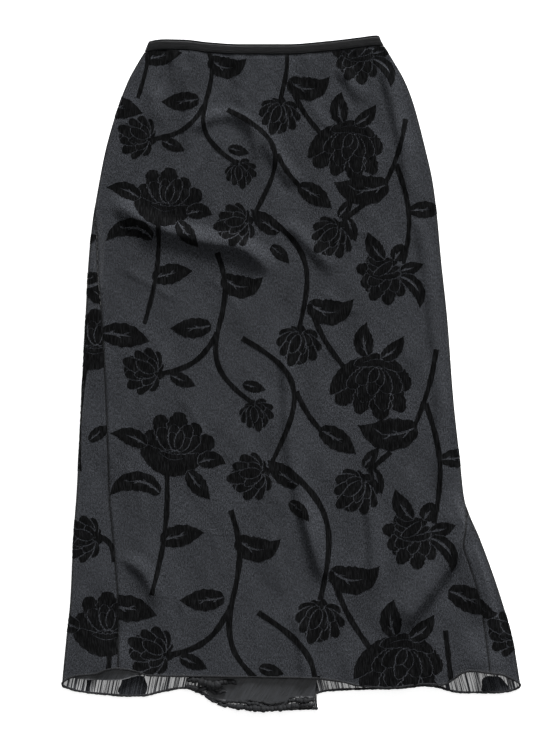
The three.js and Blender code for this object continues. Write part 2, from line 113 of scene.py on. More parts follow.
add_sun("low sun", *LOW_SUN, (-(math.pi / 2 - SUN_HEIGHT), 0, -SUN_SIDE))
add_sun("high sun", *HIGH_SUN, HIGH_SUN_TURN)
world = bpy.data.worlds.new("sky")
world.use_nodes = True
background = world.node_tree.nodes["Background"]
background.inputs["Color"].default_value = (1, 1, 1, 1)
background.inputs["Strength"].default_value = SKY
scene.world = world
print("lamps:", [lamp.name for lamp in bpy.data.lights])

# %% The paper on the table
FLOOR_HALF = 4.0  # in metres, from the middle to an edge
FLOOR_DROP = 0.0003  # in metres, so that the paper doesn't touch the cloth


def add_floor():
    """A pale sheet of paper under the skirt, far wider than the view."""
    corners = [(-FLOOR_HALF, -FLOOR_HALF, 0), (FLOOR_HALF, -FLOOR_HALF, 0),
               (FLOOR_HALF, FLOOR_HALF, 0), (-FLOOR_HALF, FLOOR_HALF, 0)]
    mesh = bpy.data.meshes.new("floor")
    mesh.from_pydata(corners, [], [(0, 1, 2, 3)])
    floor = bpy.data.objects.new("floor", mesh)
    floor.location.z = -FLOOR_DROP
    scene.collection.objects.link(floor)
    return floor


floor = add_floor()
print("the paper is %.0f m wide" % (2 * FLOOR_HALF))

# %% [markdown]
# ## The cut of the skirt
#
# The outline, seams and hems are short tables, read through a smooth curve. They could be drawn as
# curves and turned into meshes, but tables keep the numbers in sight. They are the same as the frame's
# own, so cloth worked out from them has the frame's outline.

# %% Sizes, in mm
SHELL = 1.3  # the frame's chiffon wall
LINING = 1.0  # the frame's lining wall
SEAM_GAP = 0.3  # between two of the frame's pieces
HEM_ROLL = 0.5  # room under the linings for the rolled hem
BACK_LINING_Z = SHELL + HEM_ROLL + SEAM_GAP
FRONT_LINING_Z = BACK_LINING_Z + LINING + SEAM_GAP
LAID_HIGH = FRONT_LINING_Z + LINING + SEAM_GAP + SHELL  # the front's outer face, without folds
FOLD_RADIUS = LAID_HIGH / 2  # of the half circle at a side fold
QUARTER_TURN = math.pi * FOLD_RADIUS / 2  # cloth in a quarter of that circle
BAND_HIGH = 11.5
BAND_WALL = 2.4
BACK_BAND_RISE = 2.5  # how far the back of the band shows above its front
WAIST_GAP = 0.6  # between the band and the cloth below it
SWELL = 2.2  # how much higher the laid skirt is at its middle than near its side folds
SLACK_EDGE = 11.0  # the folds fade out this close to a side fold
LENGTH = 850.0  # from the waist to the middle of the front hem, roughly
LINING_INSET = 5.5  # how far the linings end short of the side folds
PILE = 0.5  # how far the velvet stands up
CHIFFON = 0.45
LINING_THIN = 0.4
print("the front lies %.1f mm high, and a side fold takes %.1f mm of cloth" % (LAID_HIGH, 2 * QUARTER_TURN))

# %% Outline, seams and waist
OUTLINE = {
    "down": [-8, 0, 12, 25, 52, 78, 105, 145, 185, 230, 290, 371, 477, 560, 606, 625,
             660, 743, 797, 850, 900],
    "left": [186, 189, 194, 202, 217, 227.5, 236.5, 247.5, 255.5, 263, 269.5, 274, 279.5, 283.5, 286, 287.5,
             290, 294, 299.5, 304.5, 308],
    "right": [117, 120, 128, 136, 151.5, 162, 170, 180, 189, 195, 200.5, 209, 217, 226, 231, 236,
              251, 280.5, 295.5, 304.5, 312],
}
SIDE_SEAMS = {
    "down": [0, 205, 265, 318, 358, 477, 556, 612, 642, 677, 700, 743, 775, 815, 850],
    "left": [0, 0, 11, 17, 23, 35.5, 42, 47, 52.5, 58, 61, 66, 69.5, 74, 78],
    "right": [0, 0, 0, 0, 0, 0, 0, 0, 12, 29, 30, 31, 36, 39.5, 41.5],
}
BACK_SEAM = {"down": [0, 900], "across": [-28, 36]}
WAIST = {
    "across": [-195, -170, -142, -110, -68, -4, 49, 92, 113, 125],
    "down": [4, 0, 0.5, 4, 6.5, 6.5, 2.5, -2.5, -5, -4],
}
print("the outline has", len(OUTLINE["down"]), "rows, the side seams", len(SIDE_SEAMS["down"]))

# %% Hems
FRONT_HEM = {
    "across": [-308, -286, -259, -247, -231, -217, -201, -190, -153, -72, 25, 68, 93, 128, 180, 200, 216, 227,
               240, 258, 278, 294, 308],
    "down": [854, 843.5, 840.5, 835.5, 832.5, 834.5, 838.5, 842.5, 843.5, 844.5, 846, 851, 856.5, 859,
             854, 855, 847, 839, 836, 838, 841, 848, 856],
}
BACK_LEFT_HEM = {
    "across": [-308, -281, -250, -215, -195, -174, -142, -126, -110, -100, -84, -57, -30, 40],
    "down": [856, 864.5, 868, 870.5, 870, 865, 860, 864, 871, 878, 883, 884.5, 889, 887],
}
BACK_RIGHT_HEM = {
    "across": [25, 49, 70, 145, 177, 198, 209, 230, 273, 294, 308],
    "down": [869, 863.5, 862, 860, 857, 859, 863, 866, 866, 863, 857],
}
FRONT_LINING_HEM = {
    "across": [-300, -268, -230, -203, -180, 25, 68, 93, 114, 126, 162, 172, 200, 210, 228, 258, 278, 300],
    "down": [845, 849, 849, 843, 839.5, 843, 849, 853.5, 853.5, 844.5, 844.5, 851, 851, 845, 834, 834,
             837, 845],
}
BACK_LINING_HEM = {
    "across": [-300, -140, -122, -104, -78, -50, -20, -3, 3, 31, 35, 300],
    "down": [836, 838, 848, 875, 878, 880, 884, 881, 873, 872.5, 845, 828],
}
print("the back hangs as low as %d mm" % max(BACK_LEFT_HEM["down"]))

# %% Reading a table along a smooth curve


def read_table(table, by, column):
    """A function that reads a table along a smooth curve: a cubic Hermite curve in each row's span, with
    tangents that are the harmonic mean of the slopes on either side, so it never swings past a row."""
    x = np.array(table[by], float)
    y = np.array(table[column], float)
    chord = np.diff(y) / np.diff(x)
    before, after = chord[:-1], chord[1:]
    same_way = before * after > 0
    inner = np.where(same_way, 2 * before * after / np.where(same_way, before + after, 1), 0)
    slope = np.concatenate([chord[:1], inner, chord[-1:]])

    def read(at):
        """The table's value at some places, held at the first and the last row beyond them."""
        at = np.clip(at, x[0], x[-1])
        i = np.clip(np.searchsorted(x, at) - 1, 0, len(x) - 2)
        span = x[i + 1] - x[i]
        t = (at - x[i]) / span
        ends = (1 + 2 * t) * (1 - t) ** 2 * y[i] + t * t * (3 - 2 * t) * y[i + 1]
        return ends + t * (1 - t) * span * ((1 - t) * slope[i] - t * slope[i + 1])

    return read


outline_left = read_table(OUTLINE, "down", "left")
right_edge = read_table(OUTLINE, "down", "right")
seam_in = {side: read_table(SIDE_SEAMS, "down", side) for side in ("left", "right")}
back_seam = read_table(BACK_SEAM, "down", "across")
waist_top = read_table(WAIST, "across", "down")
front_hem = read_table(FRONT_HEM, "across", "down")
back_hem = {"left": read_table(BACK_LEFT_HEM, "across", "down"),
            "right": read_table(BACK_RIGHT_HEM, "across", "down")}
front_lining_hem = read_table(FRONT_LINING_HEM, "across", "down")
back_lining_hem = read_table(BACK_LINING_HEM, "across", "down")


def left_edge(down):
    """Where the left side fold lies, across: the table gives it as a distance to the left."""
    return -outline_left(down)


print("200 mm below the waist the skirt is %.0f mm wide" % (right_edge(200.0) - left_edge(200.0)))

# %% Steps and blends


def smooth_step(low, high, value):
    """0 below low, 1 above high, and 3t^2 - 2t^3 between them."""
    t = np.clip((value - low) / (high - low), 0, 1)
    return t * t * (3 - 2 * t)


def mix(a, b, t):
    """a where t is 0, b where t is 1, and straight between them."""
    return a + (b - a) * t


print("a smooth step a quarter of the way up is at", smooth_step(0, 1, 0.25))

# %% [markdown]
# ## Folds as a height field
#
# A fold in a laid skirt is a long low ridge. Cloth simulation could make folds, but it puts them where
# it likes. Here each one is a path with a height and two widths, and all of them add up to one field
# of heights, worked out once on a fine grid. The large folds are the frame's own, but for three: the left
# hip and the right bulge are 1 to 1.5 mm higher here and a little wider, and the low ridge on the right
# flare is only here. The creases, dart ends and slow waves of the cloth are added on top of them.

# %% The large folds
FOLDS = [  # high, wide on the left, wide on the right, fade in, fade out, path of (across, down)
    (13, 22, 18, 40, 60, [(-242, 206), (-197, 240), (-117, 266), (-64, 277), (-12, 316)]),  # left hip
    (6.5, 19, 15, 30, 25, [(-40, 106), (-25, 148), (12, 200)]),  # middle hip, upper
    (5.5, 16, 14, 25, 35, [(-14, 236), (16, 264), (62, 312)]),  # middle hip, lower
    (4.5, 15, 14, 20, 30,
     [(-136, 124), (-114, 106), (-86, 99), (-60, 107), (-46, 132), (-43, 168)]),  # left waist
    (4.5, 20, 18, 25, 30, [(-184, 50), (-182, 90), (-172, 120)]),  # left dart
    (3.2, 17, 10, 20, 45, [(-139, 26), (-138, 100), (-135, 168)]),  # below the left dart
    (6, 18, 14, 18, 30, [(58, 30), (77, 54), (100, 88)]),  # right waist
    (6, 20, 12, 18, 45, [(119, 30), (137, 90), (150, 152), (156, 222)]),  # right side, upper
    (4.5, 19, 12, 45, 60, [(166, 216), (183, 330), (194, 440), (198, 550), (196, 616)]),  # right side, lower
    (6.5, 26, 13, 50, 45, [(-10, 392), (-5, 470), (-1, 548), (18, 636), (43, 728)]),  # middle, long
    (4, 22, 12, 30, 35, [(13, 606), (29, 664), (47, 730)]),  # middle, low
    (5.5, 20, 13, 45, 50, [(99, 580), (108, 660), (112, 752)]),  # right of the middle
    (14, 19, 44, 55, 45,
     [(222, 585), (223, 645), (213, 682), (192, 716), (163, 754), (136, 792)]),  # right bulge
    (5, 14, 36, 40, 30, [(238, 650), (260, 730), (282, 810)]),  # right flare
    (6, 20, 12, 25, 30, [(-228, 682), (-192, 712), (-176, 756)]),  # left low crease
    (9, 36, 40, 50, 0, [(-228, 780), (-230, 838)]),  # left hem arch
    (11, 46, 44, 55, 0, [(248, 775), (252, 842)]),  # right hem arch
    (3.5, 17, 12, 35, 0, [(8, 742), (20, 850)]),  # middle hem, left
    (4, 24, 20, 60, 0, [(74, 790), (84, 858)]),  # middle hem, right
]
GATHERS = [  # across, high, long: soft gathers that run down from the waistband
    (-150, 2.6, 70), (-126, 2.2, 60), (-98, 1.8, 45), (-70, 2.0, 58),
    (-40, 2.2, 50), (-8, 1.8, 42), (24, 2.2, 55), (92, 2.0, 48),
]
GATHER_WIDE = 15  # on either side
print(len(FOLDS), "large folds and", len(GATHERS), "gathers")

# %% Paths and ridges
GRID = 1.5  # the height field's spacing
ACROSS = np.arange(-330, 331, GRID)
DOWN = np.arange(-24, 906, GRID)
PATH_STEPS = 14  # straight pieces in the path of a fold
SPARE = 20  # how far past its width a fold is still worked out


def smooth_path(corners, steps):
    """A centripetal Catmull-Rom curve through corners: each span is a cubic with tangents that come
    from its neighbours, weighted by the square roots of the distances between the corners."""
    p = np.array(corners, float)
    p = np.vstack([2 * p[0] - p[1], p, 2 * p[-1] - p[-2]])
    at = np.linspace(0, len(corners) - 1, steps + 1)
    i = np.minimum(at.astype(int), len(corners) - 2)
    t = (at - i)[:, None]
    a, b, c, d = p[i], p[i + 1], p[i + 2], p[i + 3]
    gap = [np.sqrt(np.linalg.norm(q - r, axis=1))[:, None] for q, r in ((b, a), (c, b), (d, c))]
    start = ((b - a) / gap[0] - (c - a) / (gap[0] + gap[1]) + (c - b) / gap[1]) * gap[1]
    end = ((c - b) / gap[1] - (d - b) / (gap[1] + gap[2]) + (d - c) / gap[2]) * gap[1]
    weights = (1 + 2 * t) * (1 - t) ** 2, t * t * (3 - 2 * t), t * (1 - t) ** 2, -t * t * (1 - t)
    return weights[0] * b + weights[1] * c + weights[2] * start + weights[3] * end


def ridge(x, y, high, left_wide, right_wide, fade_in, fade_out, path):
    """The height of one fold at points x, y: high times (1 + cos(pi d / wide)) / 2, where d is the
    distance to the path, and the height fades smoothly over the first and the last part of it."""
    line = smooth_path([(across, -down) for across, down in path], PATH_STEPS)
    steps = np.diff(line, axis=0)
    long = np.linalg.norm(steps, axis=1)
    reach = np.concatenate([[0], np.cumsum(long)])
    nearest = np.full(x.shape, np.inf)
    side = np.ones(x.shape)
    along = np.zeros(x.shape)
    for start, step, span, so_far in zip(line, steps, long, reach):
        dx, dy = x - start[0], y - start[1]
        t = np.clip((dx * step[0] + dy * step[1]) / span ** 2, 0, 1)
        distance = np.hypot(dx - t * step[0], dy - t * step[1])
        closer = distance < nearest
        nearest = np.where(closer, distance, nearest)
        side = np.where(closer, step[0] * dy - step[1] * dx, side)
        along = np.where(closer, so_far + t * span, along)
    wide = np.where(side > 0, left_wide, right_wide)
    bell = np.where(nearest < wide, (1 + np.cos(np.pi * nearest / wide)) / 2, 0)
    start = smooth_step(0, fade_in, along) if fade_in else 1
    end = smooth_step(0, fade_out, reach[-1] - along) if fade_out else 1
    return high * bell * start * end


def add_ridge(field, *fold):
    """Adds a fold to the field, worked out only on the part of the grid that it reaches."""
    wide = max(fold[1], fold[2])
    path = np.array(fold[-1], float)
    (left, top), (right, low) = path.min(axis=0) - wide - SPARE, path.max(axis=0) + wide + SPARE
    columns = slice(*np.searchsorted(ACROSS, [left, right]))
    rows = slice(*np.searchsorted(DOWN, [top, low]))
    x, down = np.meshgrid(ACROSS[columns], DOWN[rows])
    field[rows, columns] += ridge(x, -down, *fold)


print("the height field has", len(DOWN), "rows of", len(ACROSS))

# %% Adding up the large folds
GATHER_LEAN = 0.12  # how much a gather leans outwards, for each mm from GATHER_MIDDLE
GATHER_MIDDLE = -30

field = np.zeros((len(DOWN), len(ACROSS)))
for fold in FOLDS:
    add_ridge(field, *fold)
for across, high, long in GATHERS:
    start = float(waist_top(across)) + BAND_HIGH
    lean = GATHER_LEAN * (across - GATHER_MIDDLE)
    path = [(across, start), (across + 0.4 * lean, start + long)]
    add_ridge(field, high, GATHER_WIDE, GATHER_WIDE, 4, 0.8 * long, path)
print("large folds rise up to %.1f mm" % field.max())

# %% Creases and dart ends
CREASE_FADE = (14, 18)  # how long a crease takes to rise and to fade, in mm
CREASES = [  # high (negative is a valley), wide on the left and right, path
    (-2.2, 7, 9, [(-160, 26), (-168, 50), (-186, 78)]),  # left dart
    (-1.6, 5, 6, [(-186, 78), (-192, 92)]),
    (-2.0, 7, 7, [(120, 12), (132, 34), (140, 52)]),  # right dart
    (1.6, 7, 8, [(-222, 60), (-226, 96), (-236, 132)]),
    (1.2, 8, 8, [(-200, 130), (-206, 165), (-222, 196)]),
    (1.4, 9, 8, [(-96, 120), (-110, 152), (-136, 186)]),
    (1.2, 8, 9, [(-70, 60), (-58, 96), (-50, 128)]),
    (1.4, 9, 8, [(20, 60), (34, 96), (60, 126)]),
    (1.2, 8, 8, [(96, 108), (112, 150), (118, 190)]),
    (1.3, 9, 8, [(-226, 300), (-190, 322), (-150, 346)]),
    (1.2, 8, 8, [(-120, 306), (-90, 330), (-66, 362)]),
    (1.3, 9, 8, [(60, 226), (84, 250), (112, 262)]),
    (1.3, 8, 8, [(40, 330), (66, 352), (98, 364)]),
    (1.2, 9, 9, [(-220, 420), (-206, 452), (-200, 492)]),
    (1.3, 10, 9, [(-150, 470), (-128, 498), (-116, 540)]),
    (1.2, 8, 8, [(-92, 540), (-70, 566), (-58, 600)]),
    (1.3, 9, 8, [(108, 430), (124, 462), (130, 506)]),
    (1.2, 8, 8, [(160, 560), (150, 600), (142, 640)]),
    (1.3, 9, 9, [(-220, 560), (-200, 600), (-196, 650)]),
    (1.2, 8, 9, [(-110, 640), (-96, 680), (-88, 720)]),
    (1.2, 9, 8, [(-30, 640), (-18, 690), (-16, 740)]),
    (1.4, 10, 9, [(-150, 730), (-140, 780), (-150, 836)]),
    (1.3, 9, 10, [(0, 750), (10, 800), (18, 842)]),
    (1.4, 10, 9, [(150, 780), (166, 820), (176, 850)]),
]
for high, left_wide, right_wide, path in CREASES:
    add_ridge(field, high, left_wide, right_wide, *CREASE_FADE, path)
print(len(CREASES), "creases, the deepest %.1f mm" % -min(crease[0] for crease in CREASES))

# %% Slow waves, and rest at the side folds
WAVES = [  # count, shortest and longest pitch in mm, spread of the lean, pitch of a wave of unit height
    (26, 26, 90, 0.55, 60),  # most waves run down the cloth
    (30, 9, 20, 0.8, 110),
]
WAVE_HIGH = 0.22  # in mm, for a wave of unit height

x, down = np.meshgrid(ACROSS, DOWN)
slow = np.zeros_like(field)
for count, shortest, longest, spread, unit in WAVES:
    for wave in range(count):
        pitch = rng.uniform(shortest, longest)
        lean = rng.normal(0, spread)
        phase = rng.uniform(0, 2 * np.pi)
        way = x * math.cos(lean) + down * math.sin(lean)
        slow += np.cos(2 * np.pi / pitch * way + phase) * pitch / unit
field += WAVE_HIGH * slow

inside = np.minimum(x - left_edge(down), right_edge(down) - x) - FOLD_RADIUS
field += SWELL * smooth_step(0, 7 * SLACK_EDGE, inside)
field *= smooth_step(0, SLACK_EDGE, inside)
slope_down, slope_across = np.gradient(field, GRID)
print("heights from %.1f to %.1f mm" % (field.min(), field.max()))

# %% Reading the field anywhere


def sample(values, across, down):
    """Reads a grid between its points: the four neighbours, weighted by how near they are."""
    i = np.clip((down - DOWN[0]) / GRID, 0, len(DOWN) - 1.001)
    j = np.clip((across - ACROSS[0]) / GRID, 0, len(ACROSS) - 1.001)
    i0, j0 = i.astype(int), j.astype(int)
    s, t = i - i0, j - j0
    upper = mix(values[i0, j0], values[i0, j0 + 1], t)
    lower = mix(values[i0 + 1, j0], values[i0 + 1, j0 + 1], t)
    return mix(upper, lower, s)


print("at the middle of the hip the field is %.1f mm high" % sample(field, np.array(0.0), np.array(200.0)))

# %% Draping a place of the cloth


def drape(u, down, lift=0.0):
    """A point of the skirt's tube of cloth, unrolled to u across and down. Between the side folds it is
    the height field, at the folds a half circle of radius R = half the laid height, and past them the
    underside, which goes back inwards. lift moves it outwards along the normal. In mm."""
    u, down = np.broadcast_arrays(np.asarray(u, float), np.asarray(down, float))
    left, right = left_edge(down), right_edge(down)
    on_left = u < (left + right) / 2
    mirror = np.where(on_left, 1.0, -1.0)
    centre = np.where(on_left, left + FOLD_RADIUS, right - FOLD_RADIUS)
    along = mirror * (u - centre) + QUARTER_TURN
    turn = np.clip(along, -QUARTER_TURN, QUARTER_TURN) / FOLD_RADIUS
    on_top = along > QUARTER_TURN
    under = along < -QUARTER_TURN
    nx = np.where(on_top, -sample(slope_across, u, down), -mirror * np.cos(turn) * ~under)
    ny = np.where(on_top, sample(slope_down, u, down), 0)
    nz = np.where(on_top, 1.0, np.where(under, -1.0, np.sin(turn)))
    size = np.sqrt(nx * nx + ny * ny + nz * nz)
    x = np.where(on_top, u, centre - mirror * np.cos(turn) * FOLD_RADIUS * ~under)
    x = np.where(under, centre + mirror * (-along - QUARTER_TURN), x)
    z = np.where(on_top, LAID_HIGH + sample(field, u, down), FOLD_RADIUS * (1 + np.sin(turn)))
    z = np.where(under, 0, z)
    normal = np.stack([nx, ny, nz], -1) / size[..., None]
    return np.stack([x, -down, z], -1) + normal * np.asarray(lift)[..., None]


hip = drape(np.array([0.0]), np.array([200.0]))
print("the front at the middle of the hip lies %.1f mm high" % hip[0, 2])

# %% Where the seams lie


def unrolled_seam(side, down, apart=0.0):
    """Where a side seam lies, across the unrolled tube; apart moves it towards the front."""
    if side == "left":
        return left_edge(down) + FOLD_RADIUS - QUARTER_TURN + seam_in["left"](down) + apart
    return right_edge(down) - FOLD_RADIUS + QUARTER_TURN - seam_in["right"](down) - apart


def unrolled_back_seam(side, down, apart=0.0):
    """Where the centre back seam lies, across the unrolled tube: as far past the side fold as it is in."""
    if side == "left":
        centre = left_edge(down) + FOLD_RADIUS
        return centre - 2 * QUARTER_TURN - (back_seam(down) - apart - centre)
    centre = right_edge(down) - FOLD_RADIUS
    return centre + 2 * QUARTER_TURN + (centre - back_seam(down) - apart)


def across_of(u, down):
    """Where a point of the unrolled tube lies across, seen from above."""
    return drape(u, down)[..., 0]


print("half way down, the left seam lies %.0f mm in from the side fold" % seam_in["left"](LENGTH / 2))

# %% [markdown]
# ## From a grid of points to a mesh
#
# Every cloth is a closed sheet: a grid of outer points, the same grid a little further in, and a rim.
# A Solidify modifier could give the thickness, but then the cloth would swell where it is folded
# tightly; two grids from the same formula never cross. The UV map holds the place on the unrolled
# cloth in metres, so weave and crinkle follow the cloth round the folds.

# %% From the skirt's places to an object
# The frame's origin is under the middle of its box, so this is where the waist's zero line lies in it.
band_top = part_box("waistband")[1].y
waist_line = np.linspace(-190, 120, 200)
ORIGIN_Y = band_top / MM + float((waist_top(waist_line) - BACK_BAND_RISE).min())
print("the waist's zero line is at y = %.1f mm" % ORIGIN_Y)


def mark_sharp(mesh, pairs):
    """Marks the edges between pairs of points as sharp. Each edge is told by one number: its lower
    point times the count of points, plus its higher one."""
    count = len(mesh.vertices)
    ends = np.zeros(len(mesh.edges) * 2, np.int32)
    mesh.edges.foreach_get("vertices", ends)
    ends = np.sort(ends.reshape(-1, 2).astype(np.int64), axis=1) @ [count, 1]
    wanted = np.sort(pairs, axis=1) @ [count, 1]
    flags = mesh.attributes.new("sharp_edge", "BOOLEAN", "EDGE")
    flags.data.foreach_set("value", np.isin(ends, wanted))


def new_object(name, points, faces, cloth, material_index=None, sharp=None):
    """An object from an array of points (mm, in the skirt's own coordinates), equal-sided faces and the
    place of each point on its flat cloth (mm)."""
    mesh = bpy.data.meshes.new(name)
    points = np.asarray(points, float).reshape(-1, 3)
    placed = (points + [0, ORIGIN_Y, 0]) * MM
    groups = faces if isinstance(faces, list) else [faces]
    loops = np.concatenate([g.ravel() for g in groups]).astype(np.int32)
    sizes = np.concatenate([np.full(len(g), g.shape[1]) for g in groups])
    starts = np.concatenate([[0], np.cumsum(sizes)[:-1]]).astype(np.int32)
    mesh.vertices.add(len(placed))
    mesh.vertices.foreach_set("co", placed.astype(np.float32).ravel())
    mesh.loops.add(len(loops))
    mesh.loops.foreach_set("vertex_index", loops)
    mesh.polygons.add(len(sizes))
    mesh.polygons.foreach_set("loop_start", starts)
    mesh.update(calc_edges=True)
    mesh.shade_smooth()
    uv = mesh.uv_layers.new(name="cloth")
    flat = (np.asarray(cloth, float).reshape(-1, 2) * MM)[loops]
    uv.data.foreach_set("uv", flat.astype(np.float32).ravel())
    if material_index is not None:
        mesh.polygons.foreach_set("material_index", material_index.astype(np.int32))
    if sharp is not None:
        mark_sharp(mesh, sharp)
    mesh.validate()
    thing = bpy.data.objects.new(name, mesh)
    scene.collection.objects.link(thing)
    print("%s: %d points, %d faces" % (name, len(mesh.vertices), len(mesh.polygons)))
    return thing


# %% Faces between points


def grid_faces(rows, columns, first=0, turned=False, wrap=False):
    """Four-sided faces between the points of a grid that is numbered row by row. With wrap, the last
    column joins the first one."""
    r, c = np.meshgrid(np.arange(rows - 1), np.arange(columns if wrap else columns - 1), indexing="ij")
    after = (c + 1) % columns
    this_row, next_row = r * columns, (r + 1) * columns
    quads = np.stack([this_row + c, next_row + c, next_row + after, this_row + after], -1)
    quads = quads.reshape(-1, 4) + first
    return quads[:, ::-1] if turned else quads


def rim_faces(ring, offset, turned=False):
    """Faces between a closed ring of points of one grid and the same ring of the other."""
    after = np.roll(ring, -1)
    quads = np.stack([ring, ring + offset, after + offset, after], -1)
    return quads[:, ::-1] if turned else quads


def closed_sheet(name, outer, inner, cloth, turned=False):
    """A closed sheet between two grids of rows x columns points: faces on the outer grid, turned ones
    on the inner grid, and a rim between their edges."""
    rows, columns = outer.shape[:2]
    count = rows * columns
    index = np.arange(count).reshape(rows, columns)
    ring = np.concatenate([index[0, :-1], index[:-1, -1], index[-1, :0:-1], index[:0:-1, 0]])
    faces = np.concatenate([
        grid_faces(rows, columns, turned=turned),
        grid_faces(rows, columns, first=count, turned=not turned),
        rim_faces(ring, count, turned=turned),
    ])
    points = np.concatenate([outer.reshape(-1, 3), inner.reshape(-1, 3)])
    flat = np.concatenate([cloth.reshape(-1, 2)] * 2)
    return new_object(name, points, faces, flat)


print("a grid of 3 x 4 points has", len(grid_faces(3, 4)), "faces")

# %% [markdown]
# ## The chiffon
#
# The skirt has a front and two half backs, with the side seams lying partly on top. All three are one
# function, `drape`, read between different seams. A cloth simulation would need pins to keep this
# outline, and a formula keeps it by itself. Each sheet lies half a millimetre inside that surface, which
# leaves room for the velvet, and dips into a groove where it is sewn.

# %% Places on a panel
THREAD_GAP = 0.12  # half the gap between two sewn edges
NARROW = np.array([0, 0.8, 1.8, 3.0, 4.4, 6.2, 8.4])  # distances of the first columns from a seam


def panel_top(across):
    """How far down the cloth starts: below the band, with a small gap."""
    return waist_top(across) + BAND_HIGH + WAIST_GAP


def turned_under(u, down):
    """0 on top of the skirt, 1 underneath, and between them round the side fold."""
    left, right = left_edge(down) + FOLD_RADIUS, right_edge(down) - FOLD_RADIUS
    along = np.minimum(u - left, right - u) + QUARTER_TURN
    return 1 - smooth_step(-QUARTER_TURN, QUARTER_TURN, along)


def seam_distance(u, down):
    """Distance from the nearest side or back seam, on the unrolled cloth."""
    seams = [unrolled_seam("left", down), unrolled_seam("right", down),
             unrolled_back_seam("left", down), unrolled_back_seam("right", down)]
    return np.min([np.abs(u - seam) for seam in seams], axis=0)


print("in the middle, the front starts %.1f mm down" % panel_top(0.0))

# %% The cloth beside a seam
GROOVE = (0.7, 1.7)  # how deep a seam's groove is, and how far from the seam it has mostly risen
ALLOWANCE = (0.22, 4.2, 2.4)  # how high the turned allowance lifts the cloth, how far in, how wide
ON_TOP_FROM, ON_TOP_TO = -4, 6  # distances from the side fold where the cloth passes to the top


def cloth_lift(u, down):
    """How far the chiffon's outer face lies inside the frame's: the velvet's pile, and a groove of
    depth 0.7 exp(-(d / 1.7)^2) at a seam that is d away."""
    deep, wide = GROOVE
    return -PILE - deep * np.exp(-(seam_distance(u, down) / wide) ** 2)


def from_fold(u, down):
    """How far a place lies on top, inside the nearer side fold. On the underside it is negative."""
    return np.minimum(u - left_edge(down), right_edge(down) - u)


def on_top(u, down):
    """1 on top, 0 on the underside, and in between where the cloth turns."""
    return smooth_step(ON_TOP_FROM, ON_TOP_TO, from_fold(u, down))


def seam_lift(u, down):
    """Lift of the chiffon with the soft ridge that the turned allowance makes 4 mm beside a seam,
    0.22 exp(-((d - 4.2) / 2.4)^2). The underside rests flat and has none."""
    high, place, wide = ALLOWANCE
    away = seam_distance(u, down)
    return cloth_lift(u, down) + high * on_top(u, down) * np.exp(-((away - place) / wide) ** 2)


print("a seam lies %.1f mm deep" % -cloth_lift(unrolled_seam("left", 400.0), 400.0))

# %% Notes on the cloth
SEAM_NOTE, FOLD_NOTE = 1.4, 2.6  # how far from a seam and a side fold the notes have mostly faded


def mark_cloth(thing, u, down):
    """Notes on each point of a panel, from 0 to 1, for its finish to read: how near a seam it is, how
    near a side fold, both exp(-(d / width)^2), and whether it lies on top or on the underside."""
    notes = {"seam": np.exp(-(seam_distance(u, down) / SEAM_NOTE) ** 2),
             "fold": np.exp(-(from_fold(u, down) / FOLD_NOTE) ** 2), "upper": on_top(u, down)}
    for name, values in notes.items():
        layer = thing.data.attributes.new(name, "FLOAT", "POINT")
        layer.data.foreach_set("value", np.tile(values.ravel(), 2).astype(np.float32))


print("3 mm from a seam its note is %.2f" % math.exp(-(3 / SEAM_NOTE) ** 2))

# %% Rows and columns of a panel
SETTLE_ROUNDS = 7  # how often the two are worked out in turn
LAST_ROWS = (0.012, 0.007, 0.003)  # how far above the hem the last rows lie, as shares of the length


def settle(columns, shares, place, top, hem):
    """The points of a panel, row by row: place(column, down) gives u, and the row's share of the way
    from top to hem gives down. Each depends on the other, so they are worked out in turn."""
    shares = np.asarray(shares)[:, None]
    down = LENGTH * shares + 0 * columns[None, :]
    for _ in range(SETTLE_ROUNDS):
        u = place(columns[None, :], down)
        x = across_of(u, down)
        down = mix(top(x, u, down), hem(x, u, down), shares)
    return place(columns[None, :], down), down


def between(start, end, count):
    """place() for a panel with narrow columns at both of its seams and even ones between them. Columns
    are numbered 0 to count."""
    last = len(NARROW) - 1

    def place(column, down):
        """u of a column, by the distances NARROW near a seam."""
        first, final = start(down), end(down)
        way = np.sign(final - first)
        share = (column - last) / (count - 2 * last)
        middle = mix(first + way * NARROW[-1], final - way * NARROW[-1], share)
        near = first + way * NARROW[np.clip(column, 0, last).astype(int)]
        far = final - way * NARROW[np.clip(count - column, 0, last).astype(int)]
        return np.where(column < last, near, np.where(column > count - last, far, middle))

    return place


def hem_shares(rows):
    """Even rows, with a few closer ones at the hem."""
    start, *closer = LAST_ROWS
    return np.concatenate([np.linspace(0, 1 - start, rows - 3), [1 - above for above in closer], [1]])


print("shares of the last rows:", hem_shares(10)[-4:])

# %% Front panel
FRONT_COLUMNS, FRONT_ROWS = 172, 264
front_place = between(lambda d: unrolled_seam("left", d, THREAD_GAP),
                      lambda d: unrolled_seam("right", d, THREAD_GAP), FRONT_COLUMNS)
front_u, front_down = settle(np.arange(FRONT_COLUMNS + 1), hem_shares(FRONT_ROWS), front_place,
                             lambda x, u, d: panel_top(x), lambda x, u, d: front_hem(x))


def sheet_of(name, u, down, turned=False):
    """The chiffon sheet over a grid of places, CHIFFON thick."""
    outer = drape(u, down, seam_lift(u, down))
    inner = drape(u, down, seam_lift(u, down) - CHIFFON)
    sheet = closed_sheet(name, outer, inner, np.stack([u, down], -1), turned=turned)
    mark_cloth(sheet, u, down)
    return sheet


front = sheet_of("front_chiffon", front_u, front_down)

# %% Back panels
BACK_COLUMNS, BACK_ROWS = 96, 210
STRIP_COLUMNS, TURN_COLUMNS = 26, 14  # on the strip that shows on top, and round the side fold


def back_top(x, u, down):
    """Where the back starts: as the front on top, and a little higher underneath."""
    return panel_top(x) - BACK_BAND_RISE * turned_under(u, down)


